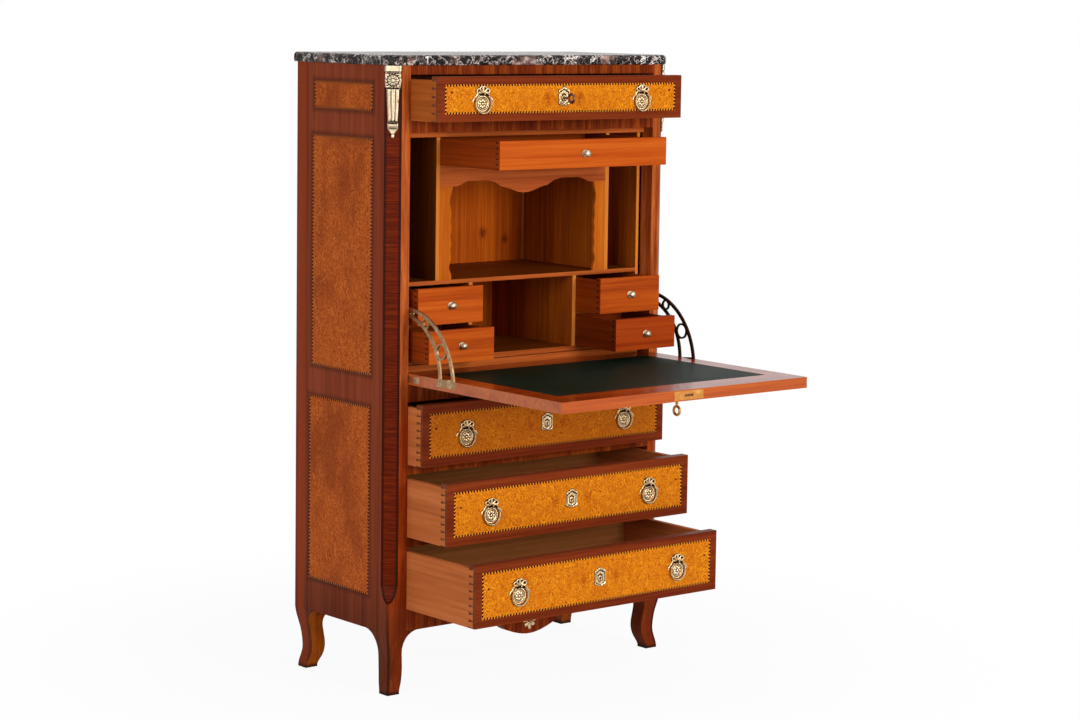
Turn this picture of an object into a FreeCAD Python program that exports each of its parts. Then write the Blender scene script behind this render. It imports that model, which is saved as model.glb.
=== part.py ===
"""Escritoire: a fall-front writing cabinet with canted corners, cabriole legs and a marble top.

Millimetres. X runs to the right, the front faces -Y, Z is up, and the origin is on the floor
under the middle of the case. The pieces stand as in use: fall open, drawers partly drawn.
"""
import FreeCAD, Part
import math
import os
import Sketcher
from FreeCAD import Vector

os.makedirs("parts", exist_ok=True)
doc = FreeCAD.newDocument("Escritoire")

# Driving dimensions
SIZES = {
    # Case
    "case_width": 798, "case_depth": 358, "post_width": 50, "front_post_depth": 38,
    "rear_post_depth": 36, "side_thickness": 18, "back_thickness": 10, "back_inset": 4,
    "top_rail_height": 20, "drawer_rail_height": 22, "fall_rail_height": 38.5,
    "frieze_rail_height": 26, "dust_board": 8, "guide_height": 20,
    "marble_thickness": 22, "marble_overhang": 6, "marble_top_round": 9, "marble_foot_round": 4,
    # Canted corner and leg
    "cant": 27, "cant_stop_height": 243, "tongue_length": 38,
    "leg_height": 140, "leg_swing": 12, "leg_width": 50, "front_ear_depth": 24, "side_ear_depth": 20,
    # Apron
    "apron_height": 49, "apron_thickness": 22, "apron_drop": 52, "apron_drop_width": 220,
    # Openings
    "fall_opening_height": 547.5, "running_gap": 0.3, "top_gap": 1.7, "side_gap": 1,
    # Long drawers
    "long_drawer_height": 136, "frieze_drawer_height": 97, "drawer_back_gap": 26,
    "drawer_front": 22, "drawer_side": 12, "drawer_floor": 8, "drawer_floor_rise": 6,
    "drawer_side_drop": 8, "drawer_lap": 7, "drawer_tail": 17,
    "frieze_out": 96, "upper_out": 53, "middle_out": 143, "lower_out": 244,
    # Fall
    "fall_thickness": 24, "fall_gap": 0.5, "sill_gap": 1.5, "stop_height": 12, "sill_depth": 34,
    "leather_side_margin": 52, "leather_free_margin": 76, "leather_hinge_margin": 60,
    "leather_thickness": 1, "leather_recess": 1.2,
    "pin_radius": 4, "pin_play": 0.05, "pin_depth": 10, "pin_reach": 11, "pin_relief": 0.4,
    "hinge_plate_thickness": 3, "hinge_plate_length": 60, "hinge_plate_height": 14,
    "hinge_plate_tail": 9,
    # Quadrant stays
    "stay_thickness": 4, "stay_foot_outer": 174, "stay_foot_inner": 119, "stay_head_outer": 155,
    "stay_head_inner": 136, "stay_rail": 7.5, "stay_ring_wall": 4.2, "stay_plate_length": 66,
    "stay_plate_height": 16,
    # Locks and keys
    "lock_width": 60, "lock_tail": 14, "lock_depth": 9, "bolt_width": 24, "bolt_thickness": 5,
    "bolt_length": 16, "bolt_throw": 5, "bolt_play": 0.1, "mortise_play": 1,
    "lock_plate_width": 82, "lock_plate_height": 19, "lock_plate_thickness": 2,
    "fall_lock_depth": 50, "fall_lock_thickness": 12, "key_backset": 38,
    "key_radius": 2.4, "key_play": 0.08, "key_clearance": 1, "key_depth": 16, "key_reach": 17,
    "key_bow_radius": 10, "key_bow_wire": 2.2, "key_collar_radius": 3.6, "key_collar_length": 2.5,
    # Ring pulls and keyhole plates
    "pull_inset": 120, "pull_drop": 10, "ring_radius": 21, "ring_wire": 2.3, "ring_stand_off": 5.2,
    "plate_radius": 18.5, "plate_thickness": 2.2, "plate_dome": 3.2, "plate_dome_radius": 11,
    "bow_width": 44, "bow_height": 26, "bow_thickness": 2.6, "eye_width": 5, "eye_height": 9,
    "eye_play": 0.45, "escutcheon_width": 34, "escutcheon_height": 43, "escutcheon_thickness": 2.4,
    # Gilt mounts of the case
    "chute_width": 38, "chute_height": 156, "chute_thickness": 5, "chute_relief": 4, "chute_top_gap": 1,
    "leaf_width": 46, "leaf_height": 30, "leaf_thickness": 5, "leaf_rise": 24,
    # Inner fitting
    "insert_setback": 38, "insert_back": 9, "lining": 8, "lining_gap": 1, "shelf": 9,
    "sill_height": 37, "insert_floor": 11, "insert_top": 12, "partition": 10, "shelf_gap": 1.4,
    "bay_width": 478, "nest_width": 290, "divider": 7.5, "bay_ceiling": 7,
    "valance_thickness": 8, "valance_end": 41, "valance_arch": 30, "valance_drop": 60,
    "pilaster_width": 32, "pilaster_thickness": 7, "pilaster_wave": 3,
    # Small drawers
    "small_front": 14, "small_side": 8, "small_floor": 5, "small_floor_rise": 4, "small_lap": 4,
    "small_side_drop": 4, "small_tail": 12, "small_gap": 0.5,
    "wide_drawer_height": 62, "high_drawer_height": 80, "low_drawer_height": 72,
    "wide_length": 280, "high_length": 270, "low_length": 186,
    "wide_out": 171, "high_left_out": 14, "high_right_out": 48, "low_left_out": 55, "low_right_out": 104,
    "knob_radius": 7.5, "knob_length": 15, "knob_rose_radius": 8.5, "knob_rose": 2, "knob_neck": 3.2,
    # Overrun of cutting tools
    "overrun": 5,
}

sheet = doc.addObject("Spreadsheet::Sheet", "Sizes")
for row, (alias, value) in enumerate(SIZES.items(), start=1):
    sheet.set(f"A{row}", alias)
    sheet.set(f"B{row}", str(value))
    sheet.setAlias(f"B{row}", alias)
doc.recompute()


class Size:
    """A length with its value and the sheet formula that it comes from."""

    def __init__(self, value, formula):
        self.value = value
        self.formula = formula

    def joined(self, other, sign, value):
        text = other.formula if isinstance(other, Size) else str(other)
        return Size(value, f"({self.formula} {sign} {text})")

    def __float__(self):
        return float(self.value)

    def __add__(self, other):
        return self.joined(other, "+", self.value + float(other))

    def __sub__(self, other):
        return self.joined(other, "-", self.value - float(other))

    def __mul__(self, factor):
        return self.joined(factor, "*", self.value * factor)

    def __truediv__(self, factor):
        return self.joined(factor, "/", self.value / factor)

    def __neg__(self):
        return Size(-self.value, f"(0 - {self.formula})")


S = {alias: Size(float(sheet.get(alias)), f"Sizes.{alias}") for alias in SIZES}
ZERO = S["case_width"] - S["case_width"]


def mm(alias):
    """The plain number of one sheet cell."""
    return float(S[alias])


# Planes and heights shared by the pieces
half_case = S["case_width"] / 2
side_inner = half_case - S["side_thickness"]
opening = half_case - S["post_width"]
front = -(S["case_depth"] / 2)
rear = S["case_depth"] / 2
post_back = front + S["front_post_depth"]
rear_post_face = rear - S["rear_post_depth"]
back_face = rear - S["back_inset"] - S["back_thickness"]
fitting_face = front + S["insert_setback"]
fitting_back = back_face - S["insert_back"]
drawer_length = back_face - front - S["drawer_back_gap"]

drawer_pitch = S["long_drawer_height"] + S["running_gap"] + S["top_gap"] + S["drawer_rail_height"]
lower_floor = S["leg_height"] + S["apron_height"]
middle_floor = lower_floor + drawer_pitch
upper_floor = middle_floor + drawer_pitch
fall_rail_foot = upper_floor + drawer_pitch - S["drawer_rail_height"]
fall_rail_top = fall_rail_foot + S["fall_rail_height"]
fall_head = fall_rail_top + S["fall_opening_height"]
frieze_floor = fall_head + S["frieze_rail_height"]
top_rail_foot = frieze_floor + S["frieze_drawer_height"] + S["running_gap"] + S["top_gap"]
case_top = top_rail_foot + S["top_rail_height"]

hinge_y = front + S["fall_thickness"] / 2
hinge_z = fall_rail_top + S["fall_gap"] + S["fall_thickness"] / 2
fall_length = fall_head - S["fall_gap"] - hinge_z
fall_end = opening - S["side_gap"]
fall_face = hinge_z + S["fall_thickness"] / 2
lining_outer = fall_end - S["stay_thickness"] - S["lining_gap"]
lining_inner = lining_outer - S["lining"]

sub_parts = []


def keep(piece, label):
    """Names a finished sub-part and lists it for export."""
    piece.Label = label
    sub_parts.append(piece)
    return piece


def block(name, x, y, z):
    """A board between two planes on each axis, bound to the sheet."""
    box = doc.addObject("Part::Box", name)
    for side, (low, high) in (("Length", x), ("Width", y), ("Height", z)):
        box.setExpression(side, (high - low).formula)
    for axis, (low, _) in (("x", x), ("y", y), ("z", z)):
        box.setExpression(f"Placement.Base.{axis}", low.formula)
    return box


def group(label, pieces):
    """Separate solids that share one node."""
    compound = doc.addObject("Part::Compound", label)
    compound.Links = pieces
    return keep(compound, label)


def cut(name, base, tool):
    piece = doc.addObject("Part::Cut", name)
    piece.Base = base
    piece.Tool = tool
    return piece


def feature(label, shape):
    """A sub-part whose solid is worked out from the sheet's values."""
    piece = doc.addObject("Part::Feature", label)
    piece.Shape = shape
    return keep(piece, label)


def mirrored(pair):
    """Both sides of a symmetric span: right as given, left reflected in X."""
    low, high = pair
    return ((low, high), (-high, -low))


def solid_box(x, y, z):
    """A plain solid between two corners, in numbers."""
    low = Vector(float(x[0]), float(y[0]), float(z[0]))
    return Part.makeBox(float(x[1] - x[0]), float(y[1] - y[0]), float(z[1] - z[0]), low)


def curve(points):
    """A smooth edge through points."""
    spline = Part.BSplineCurve()
    spline.interpolate(points)
    return spline.toShape()


def outline(edges, sweep):
    """A solid from a closed outline of edges, swept along a vector."""
    wire = Part.Wire(Part.__sortEdges__(edges))
    return Part.Face(wire).extrude(sweep)


def line(first, last):
    return Part.makeLine(first, last)


def turned(profile, origin, axis):
    """A solid turned about an axis, from an outline of radius against height."""
    corners = [Vector(radius, 0, height) for radius, height in profile]
    solid = Part.Face(Part.makePolygon(corners + corners[:1])).revolve(Vector(), Vector(0, 0, 1), 360)
    solid.Placement = FreeCAD.Placement(origin, FreeCAD.Rotation(Vector(0, 0, 1), axis))
    return solid


# Marble top: a slab with canted front corners and a rounded rim
def make_marble():
    body = doc.addObject("PartDesign::Body", "Marble")
    plane = next(o for o in body.Origin.OriginFeatures if o.Role == "XY_Plane")
    sketch = body.newObject("Sketcher::SketchObject", "MarblePlan")
    sketch.AttachmentSupport = [(plane, "")]
    sketch.MapMode = "FlatFace"
    reach = mm("marble_overhang")
    half = float(half_case) + reach
    face = float(front) - reach
    back = float(rear) + reach
    cant = mm("cant")
    corners = [(-half, back), (-half, face + cant), (cant - half, face),
               (half - cant, face), (half, face + cant), (half, back)]
    points = [Vector(x, y, 0) for x, y in corners]
    for start, end in zip(points, points[1:] + points[:1]):
        sketch.addGeometry(Part.LineSegment(start, end), False)
    count = len(points)
    for index in range(count):
        sketch.addConstraint(Sketcher.Constraint("Coincident", index, 2, (index + 1) % count, 1))
    places = [
        (half_case + S["marble_overhang"], rear + S["marble_overhang"]),
        (half_case + S["marble_overhang"], front - S["marble_overhang"] + S["cant"]),
        (half_case + S["marble_overhang"] - S["cant"], front - S["marble_overhang"]),
    ]
    signed = [(-1, place) for place in places] + [(1, place) for place in places[::-1]]
    for index, (sign, (across, depth)) in enumerate(signed):
        for kind, value in (("DistanceX", across if sign > 0 else -across), ("DistanceY", depth)):
            number = sketch.addConstraint(Sketcher.Constraint(kind, index, 1, float(value)))
            sketch.setExpression(f"Constraints[{number}]", value.formula)
    pad = body.newObject("PartDesign::Pad", "MarbleSlab")
    pad.Profile = sketch
    pad.setExpression("Length", S["marble_thickness"].formula)
    doc.recompute()
    for name, level, radius in (("MarbleRim", mm("marble_thickness"), "marble_top_round"),
                                ("MarbleFoot", 0, "marble_foot_round")):
        base = body.Tip
        rim = [f"Edge{n}" for n, edge in enumerate(base.Shape.Edges, start=1)
               if abs(edge.BoundBox.ZMin - level) + abs(edge.BoundBox.ZMax - level) < mm("running_gap")
               and edge.CenterOfMass.y < float(rear)]
        fillet = body.newObject("PartDesign::Fillet", name)
        fillet.Base = (base, rim)
        fillet.setExpression("Radius", S[radius].formula)
        doc.recompute()
    body.setExpression("Placement.Base.z", case_top.formula)
    keep(body, "marble_top")


# Posts and legs
# Each leg is sawn from two faces, so its solid is where the two swept outlines meet.
# Shares: inward shift of the leg_swing, or distance of the leg_width, against the leg_height.
LEG_OUTER_SHARES = ((0, 1), (0.28, 0.83), (0.66, 0.68), (1, 0.45), (1, 0.28), (0.5, 0.06), (0.46, 0))
LEG_INNER_SHARES = ((0.74, 0), (0.76, 0.07), (0.87, 0.165), (0.95, 0.26), (0.985, 0.365), (0.965, 0.5),
                    (0.925, 0.62), (0.905, 0.72), (0.95, 0.82), (1.12, 0.92), (1.32, 0.97), (1.6, 1))


def leg_profile(along, sweep):
    """Outline of the leg seen from one face, with its ear, swept across the other face."""
    tall = mm("leg_height")
    outer = [along * (mm("leg_swing") * u) + Vector(0, 0, tall * v) for u, v in LEG_OUTER_SHARES]
    inner = [along * (mm("leg_width") * u) + Vector(0, 0, tall * v) for u, v in LEG_INNER_SHARES]
    edges = [curve(outer), curve(inner), line(outer[-1], inner[0]), line(outer[0], inner[-1])]
    return outline(edges, sweep)


def make_leg(corner, inward_x, inward_y, ear_in_front):
    """A cabriole leg under one corner of the case, with ears below the apron and side panel."""
    ear = mm("leg_width") * LEG_INNER_SHARES[-1][0]
    blank = leg_profile(inward_x, inward_y * ear).common(leg_profile(inward_y, inward_x * ear))
    core = (mm("leg_width"), mm("leg_width"))
    strips = [core, (mm("side_ear_depth"), ear)]
    if ear_in_front:
        strips.append((ear, mm("front_ear_depth")))
    footprint = None
    for across, deep in strips:
        corners = [Vector(), inward_x * across, inward_x * across + inward_y * deep, inward_y * deep]
        face = Part.Face(Part.makePolygon(corners + corners[:1]))
        prism = face.extrude(Vector(0, 0, mm("leg_height")))
        footprint = prism if footprint is None else footprint.fuse(prism)
    leg = blank.common(footprint.removeSplitter())
    leg.translate(corner)
    return leg


# Shares of the tongue's length and of the cant's depth, between its tip and the cant.
TONGUE_SHARES = ((0.2, 0.52), (0.55, 0.8))


def tongue_cutter(corner, inward_x, inward_y):
    """What is planed off an outer corner: the cant, running out below in a lamb's tongue."""
    inward = (inward_x + inward_y).normalize()
    along = Vector(-inward.y, inward.x, 0)
    depth = mm("cant") / math.sqrt(2)
    stop = mm("cant_stop_height")
    tip = stop - mm("tongue_length")
    high = float(case_top) + mm("overrun")
    bulge = Vector(0, 0, mm("tongue_length"))
    outside = inward * -mm("overrun")
    start = Vector(0, 0, tip)
    end = inward * depth + Vector(0, 0, stop)
    middle = [start + bulge * level + inward * (depth * share) for level, share in TONGUE_SHARES]
    bend = [start] + middle + [end]
    edges = [curve(bend), line(end, inward * depth + Vector(0, 0, high)),
             line(inward * depth + Vector(0, 0, high), outside + Vector(0, 0, high)),
             line(outside + Vector(0, 0, high), outside + start), line(outside + start, start)]
    wide = mm("cant") * 2
    tool = outline(edges, along * wide)
    tool.translate(along * (-wide / 2) + corner)
    return tool


def make_posts():
    for label, side in (("left", -1), ("right", 1)):
        inward_x = Vector(-side, 0, 0)
        right, left = mirrored((opening, half_case))
        span = right if side > 0 else left
        corner = Vector(side * float(half_case), float(front), 0)
        stile = solid_box(span, (front, post_back), (S["leg_height"], case_top))
        leg = make_leg(corner, inward_x, Vector(0, 1, 0), True)
        post = stile.fuse(leg).removeSplitter().cut(tongue_cutter(corner, inward_x, Vector(0, 1, 0)))
        hole = Part.makeCylinder(mm("pin_radius"), mm("pin_depth"),
                                 Vector(side * float(opening), float(hinge_y), float(hinge_z)), -inward_x)
        feature(f"front_post_{label}", post.cut(hole))
        stile = solid_box(span, (rear_post_face, rear), (S["leg_height"], case_top))
        leg = make_leg(Vector(side * float(half_case), float(rear), 0), inward_x, Vector(0, -1, 0), False)
        feature(f"rear_post_{label}", stile.fuse(leg).removeSplitter())


# Case boards
def make_case():
    panel_y = (post_back, rear_post_face)
    for label, span in zip(("right", "left"), mirrored((side_inner, half_case))):
        panel = block(f"side_panel_{label}", span, panel_y, (S["leg_height"], case_top))
        keep(panel, f"side_panel_{label}")
    keep(block("back_panel", (-opening, opening), (back_face, back_face + S["back_thickness"]),
               (S["leg_height"], case_top)), "back_panel")
    keep(block("top_board", (-side_inner, side_inner), panel_y, (top_rail_foot, case_top)), "top_board")
    across = (-opening, opening)
    deep = (front, post_back)
    bolt_half = S["bolt_width"] / 2 + S["mortise_play"]
    bolt_deep = S["bolt_throw"] + S["mortise_play"]
    top_rail = block("top_rail", across, deep, (top_rail_foot, case_top))
    lock_y = front + S["drawer_front"] - S["lock_depth"] / 2
    slot_half = S["bolt_thickness"] / 2 + S["mortise_play"]
    mortise = block("top_mortise", (-bolt_half, bolt_half), (lock_y - slot_half, lock_y + slot_half),
                    (top_rail_foot - S["overrun"], top_rail_foot + bolt_deep))
    frieze_rail = block("frieze_rail", across, deep, (fall_head, frieze_floor))
    fall_slot = (hinge_y - slot_half, hinge_y + slot_half)
    fall_mortise = block("fall_mortise", (-bolt_half, bolt_half), fall_slot,
                         (fall_head - S["overrun"], fall_head + bolt_deep))
    rails = [cut("top_rail_cut", top_rail, mortise), cut("frieze_rail_cut", frieze_rail, fall_mortise),
             block("fall_rail", across, deep, (fall_rail_foot, fall_rail_top))]
    for name, floor in (("middle_rail", middle_floor), ("upper_rail", upper_floor)):
        rails.append(block(name, across, deep, (floor - S["drawer_rail_height"], floor)))
    group("front_rails", rails)
    floors = {"lower": lower_floor, "middle": middle_floor, "upper": upper_floor, "frieze": frieze_floor}
    inside = (-side_inner, side_inner)
    boards = [block(f"{name}_dust_board", inside, panel_y, (floor - S["dust_board"], floor))
              for name, floor in floors.items()]
    fall_board = (fall_rail_foot, fall_rail_foot + S["dust_board"])
    boards.append(block("fall_dust_board", inside, panel_y, fall_board))
    group("dust_boards", boards)
    guides = []
    for name, floor in floors.items():
        for span in mirrored((opening, side_inner)):
            guides.append(block(f"{name}_guide", span, panel_y, (floor, floor + S["guide_height"])))
    group("drawer_guides", guides)


# Front apron: straight, with a shaped drop in the middle
# Shares of half the drop's width and of the drop, from its end to the middle.
DROP_SHARES = ((1, 0), (0.86, 0.1), (0.73, 0.5), (0.5, 0.78), (0.25, 0.94), (0, 1))


def make_apron():
    foot = mm("leg_height")
    half = float(opening)
    drop = [Vector(mm("apron_drop_width") / 2 * share, 0, foot - mm("apron_drop") * fall)
            for share, fall in DROP_SHARES]
    bow = [Vector(-p.x, 0, p.z) for p in drop] + drop[-2::-1]
    top = float(lower_floor)
    frame = [(half, foot), (half, top), (-half, top), (-half, foot)]
    corners = [bow[-1]] + [Vector(x, 0, z) for x, z in frame] + [bow[0]]
    edges = [curve(bow)] + [line(a, b) for a, b in zip(corners, corners[1:])]
    apron = outline(edges, Vector(0, mm("apron_thickness"), 0))
    apron.translate(Vector(0, float(front), 0))
    feature("front_apron", apron)


# Dovetailed drawers
# Shares of one tail's pitch: half its neck, and half its end.
TAIL_SHARES = (0.3, 0.43)


def tails(height, depth, width):
    """Dovetail outline of one side's front end, as points of depth against height."""
    count = max(1, round(height / width))
    pitch = height / count
    neck, end = (pitch * share for share in TAIL_SHARES)
    points = []
    for index in range(count):
        middle = pitch * (index * 2 + 1) / 2
        points += [(0, middle - neck), (-depth, middle - end), (-depth, middle + end), (0, middle + neck)]
    return points


def make_drawer(centre, width, height, floor, face, length, kind):
    """Front, sides, back and floor of one drawer, with half-blind dovetails at the front."""
    thick = mm(f"{kind}_front")
    wall = mm(f"{kind}_side")
    lap = mm(f"{kind}_lap")
    drop = mm(f"{kind}_side_drop")
    rise = mm(f"{kind}_floor_rise")
    base = mm(f"{kind}_floor")
    half = width / 2
    side_tall = height - drop
    inner_y = face + thick
    end_y = face + length
    front_board = Part.makeBox(width, thick, height, Vector(centre - half, face, floor))
    sides = []
    for sign in (-1, 1):
        outside = centre + sign * half
        start = Vector(outside if sign < 0 else outside - wall, 0, 0)
        points = [(end_y, floor + side_tall), (end_y, floor), (inner_y, floor)]
        joint = tails(side_tall, thick - lap, mm(f"{kind}_tail"))
        points += [(inner_y + y, floor + z) for y, z in joint]
        points.append((inner_y, floor + side_tall))
        corners = [Vector(start.x, y, z) for y, z in points]
        sides.append(Part.Face(Part.makePolygon(corners + corners[:1])).extrude(Vector(wall, 0, 0)))
    for side in sides:
        front_board = front_board.cut(side)
    inside = width - wall * 2
    left = centre - inside / 2
    floor_board = Part.makeBox(inside, length - thick, base, Vector(left, inner_y, floor + rise))
    back_foot = Vector(left, end_y - wall, floor + rise + base)
    back = Part.makeBox(inside, wall, side_tall - rise - base, back_foot)
    return front_board, sides + [floor_board, back]


LONG_DRAWERS = {
    "frieze": (frieze_floor, "frieze_drawer_height", "frieze_out"),
    "upper": (upper_floor, "long_drawer_height", "upper_out"),
    "middle": (middle_floor, "long_drawer_height", "middle_out"),
    "lower": (lower_floor, "long_drawer_height", "lower_out"),
}


# Ornament outlines, drawn across (u) and up (v) on the face that carries them
def placed(points, origin, across, up):
    return [origin + across * u + up * v for u, v in points]


def plaque(points, origin, across, up, outward, thickness):
    """A plate with a closed outline, standing on a face."""
    corners = placed(points, origin, across, up)
    return Part.Face(Part.makePolygon(corners + corners[:1])).extrude(outward * thickness)


# Shares of the width and height, right half from the foot to the crown.
SHIELD_SHARES = ((0, -0.5), (0.16, -0.46), (0.28, -0.37), (0.42, -0.39), (0.5, -0.29), (0.42, -0.17),
                 (0.45, 0.02), (0.42, 0.17), (0.5, 0.27), (0.42, 0.37), (0.27, 0.36), (0.2, 0.45), (0, 0.5))
# Shares of the key's radius: half the slit's width, and its length.
SLIT_SHARES = (0.5, 3)


def both_halves(shares, width, height):
    right = [(u * width, v * height) for u, v in shares]
    return right + [(-u, v) for u, v in right[-2:0:-1]]


def make_escutcheon(origin, across, up, outward):
    """A crowned shield with a keyhole."""
    shield = plaque(both_halves(SHIELD_SHARES, mm("escutcheon_width"), mm("escutcheon_height")),
                    origin, across, up, outward, mm("escutcheon_thickness"))
    start = origin - outward * mm("overrun")
    reach = outward * (mm("escutcheon_thickness") + mm("overrun") * 2)
    bore = Part.makeCylinder(mm("key_radius") + mm("key_play"), reach.Length, start, outward)
    half, tall = (mm("key_radius") * share for share in SLIT_SHARES)
    slit = placed([(-half, 0), (half, 0), (half, -tall), (-half, -tall)], start, across, up)
    slot = Part.Face(Part.makePolygon(slit + slit[:1])).extrude(reach)
    return shield.cut(bore.fuse(slot))


def oval(centre, across, up, outward, degrees, half_long, half_tall, thickness):
    """An elliptical plate whose long axis is tilted from the across direction."""
    turn = math.radians(degrees)
    long_way = across * math.cos(turn) + up * math.sin(turn)
    tall_way = up * math.cos(turn) - across * math.sin(turn)
    ellipse = Part.Ellipse(centre + long_way * half_long, centre + tall_way * half_tall, centre)
    return Part.Face(Part.Wire(ellipse.toShape())).extrude(outward * thickness)


# Ribbon bow: two open loops that rise and two tails that fall, each tilted by some degrees.
# Shares of the bow's width and height: centre across and up, half length and half height, and the
# loop's wall.
BOW_TILT_DEGREES = (50, -20)
BOW_SHARES = ((0.17, 0.31, 0.215, 0.19, 0.05), (0.25, -0.06, 0.24, 0.14, 0))


def make_bow(knot, outward):
    up = Vector(0, 0, 1)
    wide = mm("bow_width")
    tall = mm("bow_height")
    thick = mm("bow_thickness")
    petals = []
    for across in (Vector(-1, 0, 0), Vector(1, 0, 0)):
        for degrees, (out, rise, half_long, half_tall, wall) in zip(BOW_TILT_DEGREES, BOW_SHARES):
            middle = knot + across * (wide * out) + up * (tall * rise)
            seat = (middle, across, up, outward, degrees)
            petal = oval(*seat, wide * half_long, tall * half_tall, thick)
            if wall:
                opening_size = (wide * (half_long - wall), tall * half_tall - wide * wall)
                petal = petal.cut(oval(*seat, *opening_size, thick))
            petals.append(petal)
    return petals


# Turned face of the backplate: shares of the plate's radius and thickness on its rim, then of the
# dome's radius and rise.
RIM_SHARES = ((1, 0), (1, 0.7), (0.94, 1), (0.82, 1), (0.74, 0.6))
DOME_SHARES = ((1, 0), (0.78, 0.55), (0.42, 0.9), (0, 1))


def make_backplate(centre, outward):
    """Domed disc under a ribbon bow, with the eye that the ring hangs in."""
    across = Vector(1, 0, 0)
    knot = centre + Vector(0, 0, mm("ring_radius"))
    thick = mm("plate_thickness")
    profile = [(0, 0)] + [(mm("plate_radius") * u, thick * v) for u, v in RIM_SHARES]
    profile += [(mm("plate_dome_radius") * u, thick + mm("plate_dome") * v) for u, v in DOME_SHARES]
    disc = turned(profile, centre, outward)
    half = mm("eye_width") / 2
    tall = mm("eye_height")
    reach = mm("ring_stand_off") + mm("ring_wire") * 2
    eye_corner = Vector(knot.x - half, knot.y - reach, knot.z - tall / 2)
    eye = Part.makeBox(mm("eye_width"), reach, tall, eye_corner)
    stem_corner = Vector(knot.x - half, knot.y - thick, centre.z)
    stem = Part.makeBox(mm("eye_width"), thick, mm("ring_radius"), stem_corner)
    hole_at = knot + outward * mm("ring_stand_off") - across * mm("eye_width")
    hole = Part.makeCylinder(mm("ring_wire") + mm("eye_play"), mm("eye_width") * 2, hole_at, across)
    plate = disc.fuse([eye, stem] + make_bow(knot, outward))
    return plate.cut(hole).removeSplitter()


# Corners of a loop's eight-sided section, as shares of its wire's radius.
LOOP_SHARES = ((1, 0.42), (0.42, 1), (-0.42, 1), (-1, 0.42),
               (-1, -0.42), (-0.42, -1), (0.42, -1), (1, -0.42))


def make_loop(centre, axis, radius, wire):
    """A closed ring with an eight-sided section, turned about its axis."""
    return turned([(radius + wire * u, wire * v) for u, v in LOOP_SHARES], centre, axis)


# Share of the key's reach where its collar sits.
COLLAR_SHARE = 0.55


def make_key(mouth, outward, across):
    """Shank, collar and a ring bow, standing in a keyhole."""
    inner = mouth - outward * mm("key_depth")
    shank = Part.makeCylinder(mm("key_radius"), mm("key_depth") + mm("key_reach"), inner, outward)
    collar_at = mouth + outward * (mm("key_reach") * COLLAR_SHARE)
    collar = Part.makeCylinder(mm("key_collar_radius"), mm("key_collar_length"), collar_at, outward)
    bow_at = mouth + outward * (mm("key_reach") + mm("key_bow_radius") - mm("key_bow_wire") / 2)
    bow = make_loop(bow_at, across, mm("key_bow_radius"), mm("key_bow_wire"))
    return shank.fuse([collar, bow]).removeSplitter()


def bar(mouth, along, across, normal, wide, thick, length):
    """A square-ended bar that reaches back from the middle of its mouth."""
    corner = mouth - along * length - across * (wide / 2) - normal * (thick / 2)
    far = corner + across * wide
    corners = [corner, far, far + normal * thick, corner + normal * thick]
    return Part.Face(Part.makePolygon(corners + corners[:1])).extrude(along * length)


def make_lock(mouth, along, across, normal, thick, depth):
    """Lock box with a channel for its bolt, and the bolt; along points out of the bolt's mouth."""
    play = mm("bolt_play")
    axes = (along, across, normal)
    box = bar(mouth, *axes, mm("lock_width"), thick, depth)
    bolt_size = (mm("bolt_width"), mm("bolt_thickness"), mm("bolt_length"))
    channel = bar(mouth, *axes, *(size + play * 2 for size in bolt_size))
    bolt = bar(mouth - along * play, *axes, *bolt_size)
    return box, box.cut(channel), bolt


def make_long_drawers():
    outward = Vector(0, -1, 0)
    across = Vector(1, 0, 0)
    up = Vector(0, 0, 1)
    width = float(opening - S["side_gap"]) * 2
    thick = mm("drawer_front")
    for name, (floor, height_name, out) in LONG_DRAWERS.items():
        height = mm(height_name)
        base = float(floor) + mm("running_gap")
        face = float(front) - mm(out)
        board, walls = make_drawer(0, width, height, base, face, float(drawer_length), "drawer")
        keyhole = Vector(0, face, base + height / 2)
        lock_at = Vector(0, face + thick - mm("lock_depth") / 2, base + height)
        lock_tall = height / 2 + mm("lock_tail")
        seat, case, bolt = make_lock(lock_at, up, across, outward, mm("lock_depth"), lock_tall)
        clear_radius = mm("key_radius") + mm("key_clearance")
        clear = Part.makeCylinder(clear_radius, thick - mm("lock_depth"), keyhole, -outward)
        feature(f"{name}_drawer_front", board.cut(seat.fuse(clear)))
        feature(f"{name}_drawer_box", Part.makeCompound(walls))
        bore = Part.makeCylinder(mm("key_radius") + mm("key_play"), thick, keyhole, -outward)
        mounts = [case.cut(bore), make_escutcheon(keyhole, across, up, outward)]
        for label, sign in (("left", -1), ("right", 1)):
            centre = keyhole + across * (sign * (width / 2 - mm("pull_inset"))) - up * mm("pull_drop")
            mounts.append(make_backplate(centre, outward))
            ring_at = centre + outward * mm("ring_stand_off")
            ring = make_loop(ring_at, outward, mm("ring_radius"), mm("ring_wire"))
            feature(f"{name}_ring_{label}", ring)
        if name == "frieze":
            feature("frieze_bolt", bolt)
            feature("frieze_key", make_key(keyhole, outward, across))
        else:
            mounts.append(bolt)
        feature(f"{name}_drawer_mounts", Part.makeCompound(mounts))


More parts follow.
